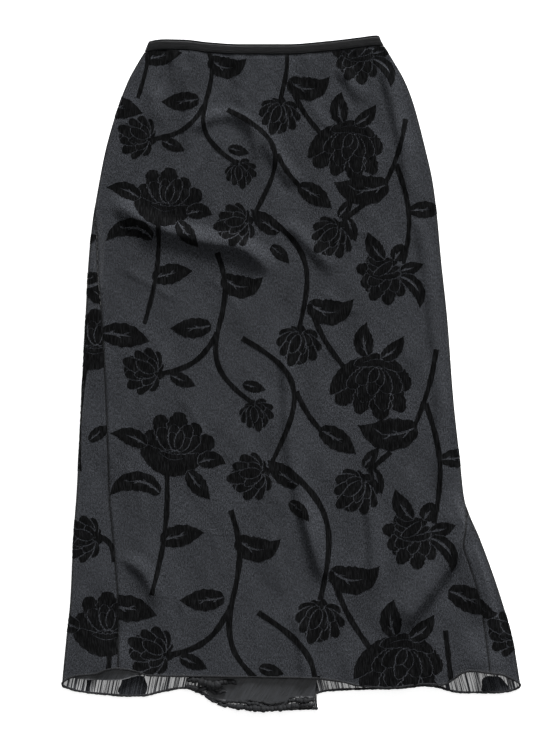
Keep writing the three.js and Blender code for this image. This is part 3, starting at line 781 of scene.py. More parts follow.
def back_hem_of(side):
    """Where half of the back ends: with the front's hem on top, and with its own underneath."""
    return lambda x, u, down: mix(front_hem(x), back_hem[side](x), turned_under(u, down))


def back_place(side):
    """place() for half of the back: even columns on the strip, round the fold and underneath."""
    mirror = -1 if side == "left" else 1
    turned = STRIP_COLUMNS + TURN_COLUMNS

    def place(column, down):
        """u of a column, in three stretches."""
        seam = unrolled_seam(side, down, -THREAD_GAP)
        centre = left_edge(down) + FOLD_RADIUS if side == "left" else right_edge(down) - FOLD_RADIUS
        reach = np.abs(seam - (centre + mirror * 2 * QUARTER_TURN))
        turn = np.minimum(2 * QUARTER_TURN, reach / 2)
        end = unrolled_back_seam(side, down, THREAD_GAP * mirror)
        strip_end = seam + mirror * (reach - turn)
        turn_end = strip_end + mirror * turn
        strip = seam + (strip_end - seam) * (column / STRIP_COLUMNS)
        bend = strip_end + (turn_end - strip_end) * ((column - STRIP_COLUMNS) / TURN_COLUMNS)
        under = turn_end + (end - turn_end) * ((column - turned) / (BACK_COLUMNS - turned))
        return np.where(column <= STRIP_COLUMNS, strip, np.where(column <= turned, bend, under))

    return place


backs = {}
back_grids = {}
for side in ("left", "right"):
    u, down = settle(np.arange(BACK_COLUMNS + 1), hem_shares(BACK_ROWS), back_place(side), back_top,
                     back_hem_of(side))
    back_grids[side] = (u, down)
    backs[side] = sheet_of("back_%s_chiffon" % side, u, down, turned=side == "left")

# %% [markdown]
# ## The lining
#
# Under the chiffon hangs a smooth lining, a little narrower and shorter than the skirt. The front one
# follows the folds above it, a little lower. The back one hangs out beside the centre back slit, where
# its hem is frayed and its cloth is crinkled on the slant. A bump could give the crinkle, but it catches
# the low light, so it is in the mesh.

# %% The front lining
DRAWN_IN = 15  # how much further in the linings end where the left side seam comes forward
DRAWN_IN_FROM, DRAWN_IN_TO = (218, 262), (352, 392)  # where that starts and where it ends
LINING_LIFT = 0.8  # of the front lining's face over the lower face of the frame's
LINING_FOLDS = 0.85  # share of the front's folds that it follows


def lining_grid(columns, rows, top, hem):
    """u and down of a lining that ends LINING_INSET short of the side folds, and further in where the
    left side seam comes forward, so that the chiffon is sheer there."""
    share = np.linspace(0, 1, columns + 1)[None, :]
    part = hem_shares(rows)[:, None]
    down = LENGTH * part + 0 * share
    for _ in range(SETTLE_ROUNDS):
        drawn_in = DRAWN_IN * smooth_step(*DRAWN_IN_FROM, down) * (1 - smooth_step(*DRAWN_IN_TO, down))
        u = mix(left_edge(down) + LINING_INSET + drawn_in, right_edge(down) - LINING_INSET, share)
        down = mix(top(u), hem(u), part)
    return u, down


def lining_sheet(name, u, down, high):
    """A lining whose upper face has the given heights."""
    upper = np.stack([u, -down, high], -1)
    lower = np.stack([u, -down, high - LINING_THIN], -1)
    return closed_sheet(name, upper, lower, np.stack([u, down], -1))


u, down = lining_grid(120, 190, panel_top, front_lining_hem)
high = FRONT_LINING_Z + LINING_LIFT + LINING_FOLDS * sample(field, u, down)
front_lining = lining_sheet("front_lining_satin", u, down, high)

# %% The back lining, crinkled where it hangs out
HANGS_OUT_DOWN = (806, 846)  # where the slack part starts
HANGS_OUT_LEFT, HANGS_OUT_RIGHT = (-132, -104), (26, 35)
CRINKLE_WAVES = 9
CRINKLE_HIGH, BROAD_HIGH, SLACK_SINK = 1.15, 0.55, 0.15  # fine and broad waves, and how far it sags
BACK_LINING_LIFT = 0.75  # of its face over the lower face of the frame's
BACK_LINING_LOW = 1.7  # it never dips below this

u, down = lining_grid(200, 190, lambda x: panel_top(x) - BACK_BAND_RISE, back_lining_hem)
slack = smooth_step(*HANGS_OUT_DOWN, down)
slack = slack * smooth_step(*HANGS_OUT_LEFT, u) * (1 - smooth_step(*HANGS_OUT_RIGHT, u))
crinkle = np.zeros_like(u)
for wave in range(CRINKLE_WAVES):
    pitch = rng.uniform(3.6, 6.5)  # mm from crest to crest
    lean = math.radians(rng.normal(33, 5))
    phase = rng.uniform(0, 7)
    way = u * math.cos(lean) + down * math.sin(lean)
    crinkle += np.cos(2 * np.pi / pitch * way + phase) / CRINKLE_WAVES
broad = 0.8 * np.cos((u * 0.86 + down * 0.5) / 11 + 0.6)
high = BACK_LINING_Z + BACK_LINING_LIFT + slack * (CRINKLE_HIGH * crinkle + BROAD_HIGH * broad - SLACK_SINK)
back_lining = lining_sheet("back_lining_satin", u, down, np.maximum(high, BACK_LINING_LOW))

# %% [markdown]
# ## The waistband
#
# The waist is bound with a narrow band of doubled satin, sewn flat. Laid down, it is a flattened ring:
# the front half lies on the back half, which peeps out above it, its inside coloured nearly black as
# painted shade. A bevelled curve would be even all along. A cross-section carried round the ring can
# be drawn in by its stitches.

# %% Stations round the band
BAND_STRAIGHT, BAND_TURN, BAND_ACROSS = 300, 12, 9  # stations on a side and round an end, points across


def band_stations():
    """Share of the way across and turn (pi/2 on top, -pi/2 underneath) of each station of the ring."""
    top = np.linspace(0, 1, BAND_STRAIGHT, endpoint=False)
    bend = np.linspace(0, np.pi, BAND_TURN, endpoint=False)
    share = np.concatenate([top, np.ones(BAND_TURN), 1 - top, np.zeros(BAND_TURN)])
    half = np.pi / 2
    side = np.full(BAND_STRAIGHT, half)
    turn = np.concatenate([side, half - bend, -side, -half - bend])
    return share, turn


def closing_faces(rows, columns):
    """Faces between the last row of a grid and its first."""
    c = np.arange(columns)
    after = (c + 1) % columns
    last = (rows - 1) * columns
    quads = np.stack([last + c, c, after, last + after], -1)
    return quads[:, ::-1]


print("the band has", len(band_stations()[0]), "stations")

# %% The band's surface
BAND_ROUNDS = 6  # x depends on down and down on x, so they are worked out in turn
STITCH_LINE = 0.9  # share of the band's height where it is stitched down


def waistband():
    """A loop of cloth cross-sections carried round a flattened ring. Each section is a low arch on its
    outer side, drawn in by 0.35 (2 part - 1)^4 towards both edges and by a line of uneven stitches near
    the lower one, where part goes from 0 to 1 across the band."""
    share, turn = (a[:, None] for a in band_stations())
    part = np.linspace(0, 1, BAND_ACROSS)[None, :]
    behind = (1 - np.sin(turn)) / 2
    down = BAND_HIGH * part + 0 * share
    for _ in range(BAND_ROUNDS):
        x = mix(left_edge(down) + FOLD_RADIUS, right_edge(down) - FOLD_RADIUS, share)
        down = waist_top(x) - BACK_BAND_RISE * behind + BAND_HIGH * part
    pucker = 0.5 + 0.5 * np.sin(x / 1.15 + 2.2 * np.sin(x / 9.0) + behind * 2)
    rough = 0.5 + 0.5 * np.sin(x / 3.1 + 1.7 * np.sin(x / 13.0))
    stitched = np.exp(-((part - STITCH_LINE) / 0.07) ** 2)
    arch = 0.35 * (2 * part - 1) ** 4 + stitched * (0.2 + 0.25 * pucker) + 0.12 * rough * part
    ragged = 0.45 * (rough - 0.5) * smooth_step(0.85, 1, part)
    out = np.stack([np.cos(turn) + 0 * part, 0 * (turn + part), np.sin(turn) + 0 * part], -1)
    core = np.stack([x, -(down + ragged), FOLD_RADIUS + 0 * down], -1)
    outside = core + out * (FOLD_RADIUS - arch)[..., None]
    inside = (core + out * (FOLD_RADIUS - BAND_WALL + 0.15))[:, ::-1]
    points = np.concatenate([outside, inside], axis=1)
    rows, columns = points.shape[:2]
    faces = np.concatenate([grid_faces(rows, columns, wrap=True, turned=True),
                            closing_faces(rows, columns)])
    ring = np.cumsum(np.concatenate([[0], np.linalg.norm(np.diff(points[:, 4], axis=0), axis=1)]))
    across_band = np.concatenate([part[0] * BAND_HIGH, part[0][::-1] * BAND_HIGH])
    flat = np.stack(np.broadcast_arrays(ring[:, None], across_band[None, :]), -1)
    column = np.concatenate([np.tile(np.arange(columns), rows - 1), np.arange(columns)])
    station = np.concatenate([np.repeat(np.arange(rows - 1), columns), np.full(columns, rows - 1)])
    # the inside of the back half, which gets the nearly black finish as painted shade
    shaded_inside = (column >= BAND_ACROSS) & (column < columns - 1) & (turn[station, 0] < 0)
    return new_object("waistband_satin", points, faces, flat, shaded_inside.astype(int))


band = waistband()

# %% [markdown]
# ## Rolled hems
#
# A chiffon hem is rolled tightly and sewn, so it is a thin, lumpy cord along the edge. A curve with a
# round bevel would be smooth. Here it is a tube with its own radius at each step, carried along the last
# row of each panel.

# %% A cord along a path
CORD_SIDES = 8
CORD_CLEAR = 0.15  # how far a cord stays above the table


def cord_along(name, path, radius, sides=CORD_SIDES):
    """A closed tube: at each point of the path a ring of the given radius, square to the path, with a
    low pointed cap at both ends. It never sinks into the table."""
    path = np.stack([path[:, 0], path[:, 1], np.maximum(path[:, 2], radius + CORD_CLEAR)], -1)
    tangent = np.gradient(path, axis=0)
    tangent /= np.linalg.norm(tangent, axis=1)[:, None]
    upright = np.array([0.0, 1.0, 0.05])
    level = np.cross(tangent, upright)
    level /= np.linalg.norm(level, axis=1)[:, None]
    other = np.cross(level, tangent)
    angle = np.linspace(0, 2 * np.pi, sides, endpoint=False)
    ring = (np.cos(angle)[None, :, None] * level[:, None] + np.sin(angle)[None, :, None] * other[:, None])
    points = path[:, None] + ring * radius[:, None, None]
    tips = np.stack([path[0] - tangent[0] * radius[0] * 0.6, path[-1] + tangent[-1] * radius[-1] * 0.6])
    rows = len(path)
    body = grid_faces(rows, sides, wrap=True, turned=True)
    c = np.arange(sides)
    after = (c + 1) % sides
    first_tip, last_tip = rows * sides, rows * sides + 1
    start_cap = np.stack([c, after, np.full(sides, first_tip)], -1)
    end_cap = np.stack([(rows - 1) * sides + after, (rows - 1) * sides + c, np.full(sides, last_tip)], -1)
    reach = np.concatenate([[0], np.cumsum(np.linalg.norm(np.diff(path, axis=0), axis=1))])
    flat = np.stack(np.broadcast_arrays(reach[:, None], angle[None, :] * 1.2), -1).reshape(-1, 2)
    flat = np.vstack([flat, [[reach[0], 0], [reach[-1], 0]]])
    return new_object(name, np.vstack([points.reshape(-1, 3), tips]), [body, start_cap, end_cap], flat)


print("a hem's cord has", CORD_SIDES, "sides")

# %% Rolled hems
HEM_RADIUS = 1.5
FRONT_HEM_STEPS, BACK_HEM_STEPS = 900, 760


def hem_path(u, down, steps, lift):
    """A smooth, evenly stepped line along the last row of a panel."""
    line = drape(u[-1], down[-1], lift)
    reach = np.concatenate([[0], np.cumsum(np.linalg.norm(np.diff(line, axis=0), axis=1))])
    even = np.linspace(0, reach[-1], steps)
    return np.stack([np.interp(even, reach, line[:, k]) for k in range(3)], -1), even


def lumpy(even, base, lump, seed):
    """A cord's radius along its length: base plus lump times the mean of five waves, the shortest 6 mm
    and the longest 7 cm long, each with its own phase."""
    phase = np.random.default_rng(seed).uniform(0, 7, 5)
    waves = sum(np.sin(even / pitch + p) for pitch, p in zip((0.9, 1.7, 2.9, 5.3, 11.0), phase))
    return base + lump * waves / 5


path, even = hem_path(front_u, front_down, FRONT_HEM_STEPS, -PILE - 0.35)
path[:, 2] += 0.25 * np.sin(even / 2.3) + 0.3 * np.sin(even / 6.1 + 1)
front_cord = cord_along("front_hem", path, lumpy(even, HEM_RADIUS, 0.55, 3))
back_cords = {}
for side in ("left", "right"):
    path, even = hem_path(*back_grids[side], BACK_HEM_STEPS, -PILE - 0.3)
    path[:, 2] = np.maximum(path[:, 2], HEM_RADIUS)
    back_cords[side] = cord_along("back_%s_hem" % side, path, lumpy(even, HEM_RADIUS + 0.1, 0.6, 5))

# %% [markdown]
# ### The bunched cloth beside the slit
#
# Beside the centre back slit the back hem is caught up, and the frayed edge of the lining hangs below
# it. Crumpled cloth this small is a few short, thick, lumpy rolls laid over each other.

# %% Bunched hem and frayed edge
ROLL_STEPS, ROLL_SIDES = 150, 14
FRAY_SEED = 20


def roll(name, corners, thick, high, seed):
    """A lumpy roll of cloth: a smooth path that wanders a little, with a lumpy radius that swells in the
    middle by 0.25 + 0.75 sin(pi t)^0.4."""
    line = smooth_path(corners, ROLL_STEPS)
    t = np.linspace(0, 1, ROLL_STEPS + 1)
    reach = np.concatenate([[0], np.cumsum(np.linalg.norm(np.diff(line, axis=0), axis=1))])
    radius = lumpy(reach, thick, 0.5 * thick, seed) * (0.25 + 0.75 * np.sin(np.pi * t).clip(0, 1) ** 0.4)
    wander = 0.5 * np.sin(reach / 2.7 + seed) + 0.3 * np.sin(reach / 1.3)
    path = np.stack([line[:, 0], -(line[:, 1] + wander), high + 0.4 * np.sin(reach / 3.3)], -1)
    return cord_along(name, path, radius, sides=ROLL_SIDES)


BUNCHES = [  # path of (across, down), thick, high
    ([(-139, 848), (-122, 850), (-104, 856), (-84, 851), (-72, 854)], 4.6, 4.0),
    ([(-140, 857), (-124, 861), (-108, 860), (-90, 859)], 3.6, 3.4),
    ([(-128, 864), (-116, 868), (-106, 876), (-98, 879)], 2.4, 2.8),
    ([(-112, 862), (-98, 866), (-86, 864)], 2.2, 4.4),
]
FRAYED = [  # path, thick, high
    ([(-106, 874), (-90, 878), (-72, 878), (-50, 881), (-30, 885), (-12, 884), (-2, 876)], 2.4, 2.8),
    ([(-60, 876), (-42, 878), (-24, 881), (-8, 877)], 1.8, 3.4),
    ([(-2, 873), (14, 873.5), (32, 872.5)], 1.2, 2.8),
    ([(-4, 885), (14, 886), (31, 886)], 1.3, 1.6),
    ([(-98, 882), (-62, 886), (-24, 888), (4, 884), (31, 882)], 3.8, 2.4),
    ([(-4, 876), (12, 877), (31, 876)], 3.2, 2.4),
]
bunches = [roll("hem_bunch_%d" % i, *row, seed=i) for i, row in enumerate(BUNCHES)]
frays = [roll("lining_hem_%d" % i, *row, seed=FRAY_SEED + i) for i, row in enumerate(FRAYED)]

# %% [markdown]
# ## The velvet roses
#
# In burnt-out velvet, pile covers the whole cloth and is eaten away between the flowers, so each petal
# is an island of pile with a thin bare line round it. An image could mask the pile, but it would blur
# close up. Here a flower is drawn the way a painter cuts stencils: a petal first clears a slightly
# larger shape, then fills its own, and the next one is laid over it. A triangulation that respects
# every outline then tells which small triangles carry pile.

# %% Outlines of strokes
BARE_LINE = 1.5  # the bare line round each petal, in mm
OUTLINE_STEP = 1.7  # distance between the points of a petal's outline
STEM_STEP = 3.2  # and of a stem's


def beside(line):
    """The unit vectors along a line and across it, at each of its points."""
    along = np.gradient(line, axis=0)
    along /= np.linalg.norm(along, axis=1)[:, None]
    return along, np.stack([-along[:, 1], along[:, 0]], -1)


def blade(path, wide, belly=1.0, root=0.5, tip=0.5, frill=0.0, frills=6, grow=0.0):
    """A closed outline round a smooth path. Its half width is wide / 2 times sin(pi t^belly)^q, where t
    runs from the root to the tip and q goes from root to tip: under 0.5 an end is square, at 0.5 it is
    round, at 1 it is pointed. A frill adds waves to both edges, and grow moves the outline outwards."""
    steps = max(7, int(np.linalg.norm(np.diff(path, axis=0), axis=1).sum() / OUTLINE_STEP))
    line = smooth_path(path, steps)
    along, across = beside(line)
    t = np.linspace(0, 1, steps + 1)
    half = wide / 2 * np.sin(np.pi * t ** belly).clip(0, 1) ** mix(root, tip, t)
    waves = 1 + frill * np.sin(2 * np.pi * frills * t + wide)
    half = (half * waves + grow)[:, None]
    ends = along * (grow + 0.15)
    left, right = line + across * half, line - across * half
    return np.vstack([line[:1] - ends[:1], left[1:-1], line[-1:] + ends[-1:], right[-2:0:-1]])


def stem_outline(path, start, end):
    """A closed outline round a path. Its width goes straight from start to end, times 1 plus two small
    waves that make it a little uneven."""
    steps = max(5, int(np.linalg.norm(np.diff(path, axis=0), axis=1).sum() / STEM_STEP))
    line = smooth_path(path, steps)
    across = beside(line)[1]
    t = np.linspace(0, 1, steps + 1)
    uneven = 1 + 0.09 * np.sin(17 * t + start * 3) + 0.06 * np.sin(41 * t + line[0, 0])
    half = (mix(start, end, t) / 2 * uneven)[:, None]
    return np.vstack([line + across * half, (line - across * half)[::-1]])


print("a petal 50 mm long has an outline of", len(blade([(0, 0), (50, 0)], 20)), "points")

# %% Paths of petals and stems


def curve(root, heading, long, bend, steps=4):
    """A path that leaves its root in a heading and turns evenly by bend, both in degrees clockwise from
    a line to the right."""
    headings = np.radians(heading + bend * (np.arange(steps) + 0.5) / steps)
    strides = long / steps * np.stack([np.cos(headings), np.sin(headings)], -1)
    return np.vstack([[root], root + np.cumsum(strides, axis=0)])


def bowed(start, end, bow, swing=0.0):
    """A path between two ends that swells sideways by bow sin(pi t) + swing sin(2 pi t)."""
    start, end = np.array(start, float), np.array(end, float)
    way = end - start
    side = np.array([way[1], -way[0]]) / np.hypot(*way)
    t = np.linspace(0, 1, 9)
    swell = bow * np.sin(np.pi * t) + swing * np.sin(2 * np.pi * t)
    return start + np.outer(t, way) + np.outer(swell, side)


print("a path that bends by 90 degrees ends at", curve((0, 0), 0, 50, 90)[-1].round(1))

# %% A stencil and its strokes


class Stencil:
    """A list of marks in painting order: an outline, and whether it puts pile down or clears it."""

    def __init__(self):
        self.marks = []

    def petal(self, path, wide, **shape):
        """Clears a halo of BARE_LINE round a blade, then fills the blade."""
        self.marks.append((blade(path, wide, grow=BARE_LINE, **shape), False))
        self.marks.append((blade(path, wide, **shape), True))

    def line(self, path, wide=BARE_LINE, tip=0.8):
        """Clears a thin line that tapers at both ends."""
        self.marks.append((blade(path, wide, belly=0.8, root=0.35, tip=tip), False))

    def stem(self, path, start, end):
        """Fills a stem."""
        self.marks.append((stem_outline(path, start, end), True))

    def mass(self, centre, half_across, half_down, lobes=8, ragged=0.06):
        """Fills an oval that is stretched by 1 + ragged (sin(lobes a) + 0.6 sin((lobes + 3) a)) at angle
        a."""
        angle = np.arange(0, 2 * np.pi, 2 * np.pi / 60)
        radius = 1 + ragged * (np.sin(lobes * angle) + 0.6 * np.sin((lobes + 3) * angle))
        oval = np.stack([half_across * np.cos(angle), half_down * np.sin(angle)], -1)
        self.marks.append((centre + oval * radius[:, None], True))

    def fan(self, centre, heading, spread, count, reach, wide, drop=0.0, curl=0.0, **shape):
        """Petals that spread evenly from a centre, the outermost first and the middle one last. Each
        turns by curl on its way, and the outermost reach less far by the share drop."""
        shares = np.linspace(-1, 1, count)
        for order in np.argsort(-np.abs(shares), kind="stable"):
            share = shares[order]
            way = heading + share * spread / 2
            far = reach * (1 - drop * share ** 2) * (1 + 0.07 * math.sin(2.4 * order + reach))
            turn = curl * (share if abs(share) > 0.2 else 0.4)
            near = centre + 0.2 * far * np.array([math.cos(math.radians(way)), math.sin(math.radians(way))])
            path = curve(near, way - turn / 2, 0.8 * far, turn, 3)
            self.petal(path, wide * (1 - 0.12 * (order % 2)), **shape)

    def leaf(self, root, heading, long, bend, wide, vein=3.0, branches=3, tip=1.0, belly=0.82, frill=0.05):
        """A leaf with a bare vein that opens at the root and branches to either side in turn. The vein
        is two thirds as long as the leaf, and a branch leaves it at 36 degrees and is a third as long
        as the leaf is wide."""
        path = curve(root, heading, long, bend)
        self.petal(path, wide, belly=belly, root=0.46, tip=tip, frill=frill, frills=5)
        spine = curve(root, heading, 0.66 * long, 0.66 * bend, 9)
        self.line(spine, vein, tip=1.1)
        for branch in range(branches):
            start = 2 + 2 * branch
            side = 1 if branch % 2 else -1
            way = heading + 0.66 * bend * start / 9 + side * 36
            self.line(curve(spine[start], way, 0.33 * wide, -side * 16, 2), 0.62 * vein)

    def placed(self, centre, scale=1.0, turn=0.0):
        """The marks turned by some degrees, clockwise on the cloth, and moved to a centre."""
        angle = math.radians(turn)
        spin = np.array([[math.cos(angle), math.sin(angle)], [-math.sin(angle), math.cos(angle)]])
        return [((outline * scale) @ spin + centre, pile) for outline, pile in self.marks]


print("strokes:", [name for name in vars(Stencil) if not name.startswith("_")])

# %% Leaves
LEAF_KINDS = {  # heading, length, bend, width, width of the vein, branches, point of the tip
    "comma": (62, 62, -112, 30, 3.0, 2, 1.15),
    "oval": (-4, 52, 16, 25, 3.0, 3, 1.0),
    "crescent": (-122, 78, -112, 25, 3.8, 4, 0.9),
    "broad": (148, 86, 66, 44, 3.8, 4, 1.1),
    "small": (62, 31, 4, 15, 2.2, 2, 0.85),
}


def leaf_stencil(heading, long, bend, wide, vein, branches, tip):
    """One leaf with its root at the origin, from a row of the table."""
    stencil = Stencil()
    stencil.leaf((0, 0), heading, long, bend, wide, vein, branches, tip)
    return stencil


STENCILS = {kind: leaf_stencil(*shape) for kind, shape in LEAF_KINDS.items()}
print("leaves:", list(STENCILS))

# %% Open roses


def side_rose():
    """An open rose seen from the side: three rows of petals fanned over a bowl with a slit in it, with a
    long sepal, a short curled one and a leaf."""
    rose = Stencil()
    rose.mass((3, -22), 36, 24)
    rose.fan((3, 2), -90, 118, 5, reach=61, wide=28, drop=0.1, curl=26, root=0.4, tip=0.34, frill=0.09)
    rose.fan((4, 0), -86, 84, 4, reach=46, wide=19, drop=0.1, curl=30, root=0.5, tip=0.42, frill=0.07)
    rose.fan((5, -4), -84, 56, 3, reach=32, wide=12, drop=0.1, curl=24, root=0.5, tip=0.6, frill=0.08)
    rose.petal(bowed((-42, -8), (40, -5), -18), 29, root=0.42, tip=0.4, frill=0.04, frills=8)
    for bow in (6, -7):
        rose.line(bowed((-19, -3), (21, -3), bow), 1.4)
    rose.leaf((-36, -10), 212, 52, -44, 23, tip=1.25, belly=0.72, branches=2)
    rose.leaf((36, 4), -40, 38, 66, 22, branches=2)
    rose.leaf((24, 16), 50, 48, -12, 23, tip=1.1, branches=3, frill=0.06)
    return rose


def grand_rose():
    """A full rose that hangs its head: four rows of ruffled petals that fall from its shoulder, with a
    long one out to one side, under a rolled rim and two curled sepals."""
    rose = Stencil()
    rose.mass((-4, 10), 38, 34)
    rose.fan((6, -22), 98, 118, 6, reach=80, wide=31, drop=0.22, curl=24, root=0.4, tip=0.45, frill=0.08)
    rose.petal(curve((4, -20), 166, 76, -44), 27, belly=0.85, root=0.35, tip=0.65, frill=0.04, frills=8)
    rose.fan((8, -20), 98, 88, 4, reach=62, wide=25, drop=0.15, curl=30, root=0.45, tip=0.45, frill=0.08)
    rose.fan((8, -18), 104, 70, 3, reach=45, wide=19, drop=0.1, curl=30, root=0.5, tip=0.5, frill=0.08)
    rose.fan((8, -16), 100, 34, 2, reach=28, wide=13, curl=20, root=0.5, tip=0.6, frill=0.06)
    rose.petal(bowed((-24, -16), (40, -8), 10), 17, root=0.45, tip=0.45, frill=0.06, frills=6)
    rose.line(bowed((-14, -18), (32, -12), 8), 1.2)
    rose.leaf((12, -25), -22, 42, -44, 20, belly=0.76, branches=2)
    rose.leaf((-6, -28), -118, 46, 52, 26, tip=1.15, belly=0.76, branches=2)
    return rose


STENCILS.update({"side": side_rose(), "grand": grand_rose()})
print("marks in the open roses:", len(STENCILS["side"].marks), len(STENCILS["grand"].marks))

# %% The spray rose, a bud and a cut petal


def spray_rose():
    """A rose that leans over, with short ruffled petals round its mouth, long ones laid over each other
    on its back, and four leaf-like sepals."""
    rose = Stencil()
    rose.mass((-4, 8), 27, 26)
    rose.fan((4, -2), 122, 190, 7, reach=46, wide=21, drop=0.2, curl=24, root=0.4, tip=0.42, frill=0.1)
    rose.fan((6, -4), 128, 110, 4, reach=34, wide=16, drop=0.1, curl=24, root=0.45, tip=0.45, frill=0.1)
    for step in range(3):
        path = curve((20 - 2 * step, 2 - 8 * step), 172, 46 - 3 * step, 26)
        rose.petal(path, 14, root=0.5, tip=0.5, frill=0.06)
    rose.petal(curve((8, -14), 128, 30, 34), 11, root=0.5, tip=0.6, frill=0.06)
    rose.leaf((12, -17), -62, 24, 20, 22, branches=1, tip=0.45)
    rose.leaf((20, -2), -12, 32, -8, 17, branches=1)
    rose.leaf((20, 6), 12, 56, 92, 19, vein=4.2, branches=0)
    rose.leaf((-2, -18), -142, 44, 42, 22, branches=2)
    return rose


def rose_bud():
    """A closed rose with its stem at the right: petals fanned from the stem over a ragged oval, with
    smaller ones on top of them and one bare line across."""
    bud = Stencil()
    bud.mass((0, 0), 23, 20, lobes=9, ragged=0.05)
    bud.fan((17, 1), 180, 158, 8, reach=42, wide=14, drop=0.42, curl=34, root=0.45, tip=0.36, frill=0.06)
    bud.fan((18, 2), 184, 92, 4, reach=29, wide=11, drop=0.2, curl=40, root=0.5, tip=0.5, frill=0.08)
    bud.line(bowed((18, 2), (-8, 6), 5), 1.1)
    return bud


def cut_petal():
    """The end of a petal that the hem cuts off."""
    petal = Stencil()
    petal.mass((0, 0), 19, 17, lobes=5, ragged=0.04)
    return petal


STENCILS.update({"spray": spray_rose(), "bud": rose_bud(), "cut petal": cut_petal()})
print("flowers and leaves:", list(STENCILS))

# %% [markdown]
# ### Where the flowers lie
#
# The pattern is a repeat that comes back down the cloth: long sprays whose stems bend and part, with a
# bud or a rose at most ends. It could be painted as an image, but then it would be flat and blurred
# close up. One repeat is charted here, and the rows above and below it are the same places
# moved along, a little larger each time as the skirt widens.

# %% One repeat of the sprays
ROW_STEP = (27, 285)  # from one row to the next, in mm across and down
ROW_SPREAD = (1.09, 1.2)  # how much further apart places lie in the next row
ROW_GROWTH = 1.09  # how much larger flowers are in the next row
ROWS = (-2, -1, 0, 1)  # the charted row is 0
STEM_WIDE = (6.9, 6.3)  # at a stem's start and at its end

STEMS = [  # start and end as (across, down), bow, swing
    ((-165, 560), (-185, 736), 8, 0), ((-98, 282), (-53, 480), -22, 15), ((-98, 388), (-172, 442), 13, 0),
    ((-65, 395), (-28, 565), 52, 4), ((7, 466), (41, 519), -3, 0), ((-27, 237), (11, 381), 29, 2),
    ((24, 350), (71, 434), -5, 0), ((132, 546), (102, 572), 0, 0), ((179, 482), (190, 640), 13, 0),
]
UPPER_STEMS = [((193, 410), (163, 514), 4, 0)]  # a stem that every row but the last one has
FLOWERS = [  # kind, across, down, size, turn
    ("side", -158, 552, 1.0, 8), ("grand", 108, 446, 1.0, 0), ("spray", 164, 654, 1.06, 0),
    ("bud", -195, 437, 1.14, 10), ("bud", -46, 496, 0.84, -116), ("bud", -54, 578, 1.16, -23),
    ("bud", 9, 404, 1.1, -84), ("bud", 85, 598, 1.18, -57),
]
LEAVES = [  # kind, across, down, size, turn
    ("comma", -90, 312, 1.0, -4), ("comma", 24, 347, 1.12, -10), ("oval", -106, 378, 1.05, 172),
    ("oval", -184, 316, 1.05, -15), ("crescent", -174, 601, 1.0, -4), ("broad", 167, 512, 0.96, 0),
    ("oval", 38, 516, 1.12, 30), ("oval", 10, 590, 1.02, 215), ("oval", -2, 612, 0.7, 40),
    ("small", -160, 444, 1.15, -40), ("small", -64, 456, 1.0, -50), ("small", 96, 566, 1.05, -115),
    ("small", 108, 568, 1.15, 5), ("oval", 199, 556, 0.95, -4), ("oval", -252, 388, 1.26, 6),
]
NEXT_COLUMN = [("oval", 209, 730, 1.3, 24)]  # leaves that reach in from the next column of sprays
NEXT_STEMS = [((205, 783), (214, 864), 0, 0)]
print("one repeat:", len(STEMS), "stems,", len(FLOWERS), "flowers,", len(LEAVES), "leaves")

# %% Laying the repeat in rows


def laid(places, row):
    """Places of the charted row in another row: each row down spreads them by ROW_SPREAD, then moves
    them by ROW_STEP."""
    places = np.array(places, float)
    for _ in range(abs(row)):
        places = places * ROW_SPREAD + ROW_STEP if row > 0 else (places - ROW_STEP) / ROW_SPREAD
    return places


def stem_marks(stems, row=0):
    """A group of marks for each stem of a table."""
    growth = ROW_GROWTH ** row
    groups = []
    for start, end, bow, swing in stems:
        stroke = Stencil()
        path = laid(bowed(start, end, bow, swing), row)
        stroke.stem(path, growth * STEM_WIDE[0], growth * STEM_WIDE[1])
        groups.append(stroke.marks)
    return groups


def flower_marks(flowers, row=0):
    """A group of marks for each leaf or flower of a table."""
    return [STENCILS[kind].placed(laid((across, down), row), size * ROW_GROWTH ** row, turn)
            for kind, across, down, size, turn in flowers]


def front_flowers():
    """Every flower, leaf and stem of the front, stems first."""
    groups = stem_marks(NEXT_STEMS) + flower_marks(NEXT_COLUMN)
    for row in ROWS:
        stems = STEMS + UPPER_STEMS if row < max(ROWS) else STEMS
        groups += stem_marks(stems, row) + flower_marks(LEAVES, row) + flower_marks(FLOWERS, row)
    return groups


front_groups = front_flowers()
print(len(front_groups), "stems, leaves and flowers charted for the front, in", len(ROWS), "rows")

# %% Which points lie in an outline


def contains(outline, points):
    """Which points lie inside a closed outline: a ray from each to the right crosses it an odd number
    of times."""
    x, y = points[:, 0], points[:, 1]
    inside = np.zeros(len(points), bool)
    low, high = outline.min(axis=0), outline.max(axis=0)
    near = np.flatnonzero((x >= low[0]) & (x <= high[0]) & (y >= low[1]) & (y <= high[1]))
    if len(near) == 0:
        return inside
    a, b = outline, np.roll(outline, -1, axis=0)
    py, px = y[near][:, None], x[near][:, None]
    spans = (a[:, 1] > py) != (b[:, 1] > py)
    rise = np.where(b[:, 1] == a[:, 1], 1e-9, b[:, 1] - a[:, 1])
    cross = a[:, 0] + (py - a[:, 1]) * (b[:, 0] - a[:, 0]) / rise
    inside[near] = (spans & (px < cross)).sum(axis=1) % 2 == 1
    return inside


petal = blade([(0, 0), (50, 0)], 20)
print("the middle of a petal lies in it:", contains(petal, np.array([[25.0, 0.0], [25.0, 30.0]])))

# %% Triangles that carry pile
PILE_GRID = 5.0  # spacing of the points inside a petal
EDGE_REACH = 12  # how near a panel's edge is to a flower when it is cut into it
THIN = 1e-4  # triangles with less area than this, in square mm, are left out


def ring_edges(outline, first):
    """The edges of a closed outline whose points are numbered from first."""
    index = np.arange(len(outline)) + first
    return np.stack([index, np.roll(index, -1)], -1)


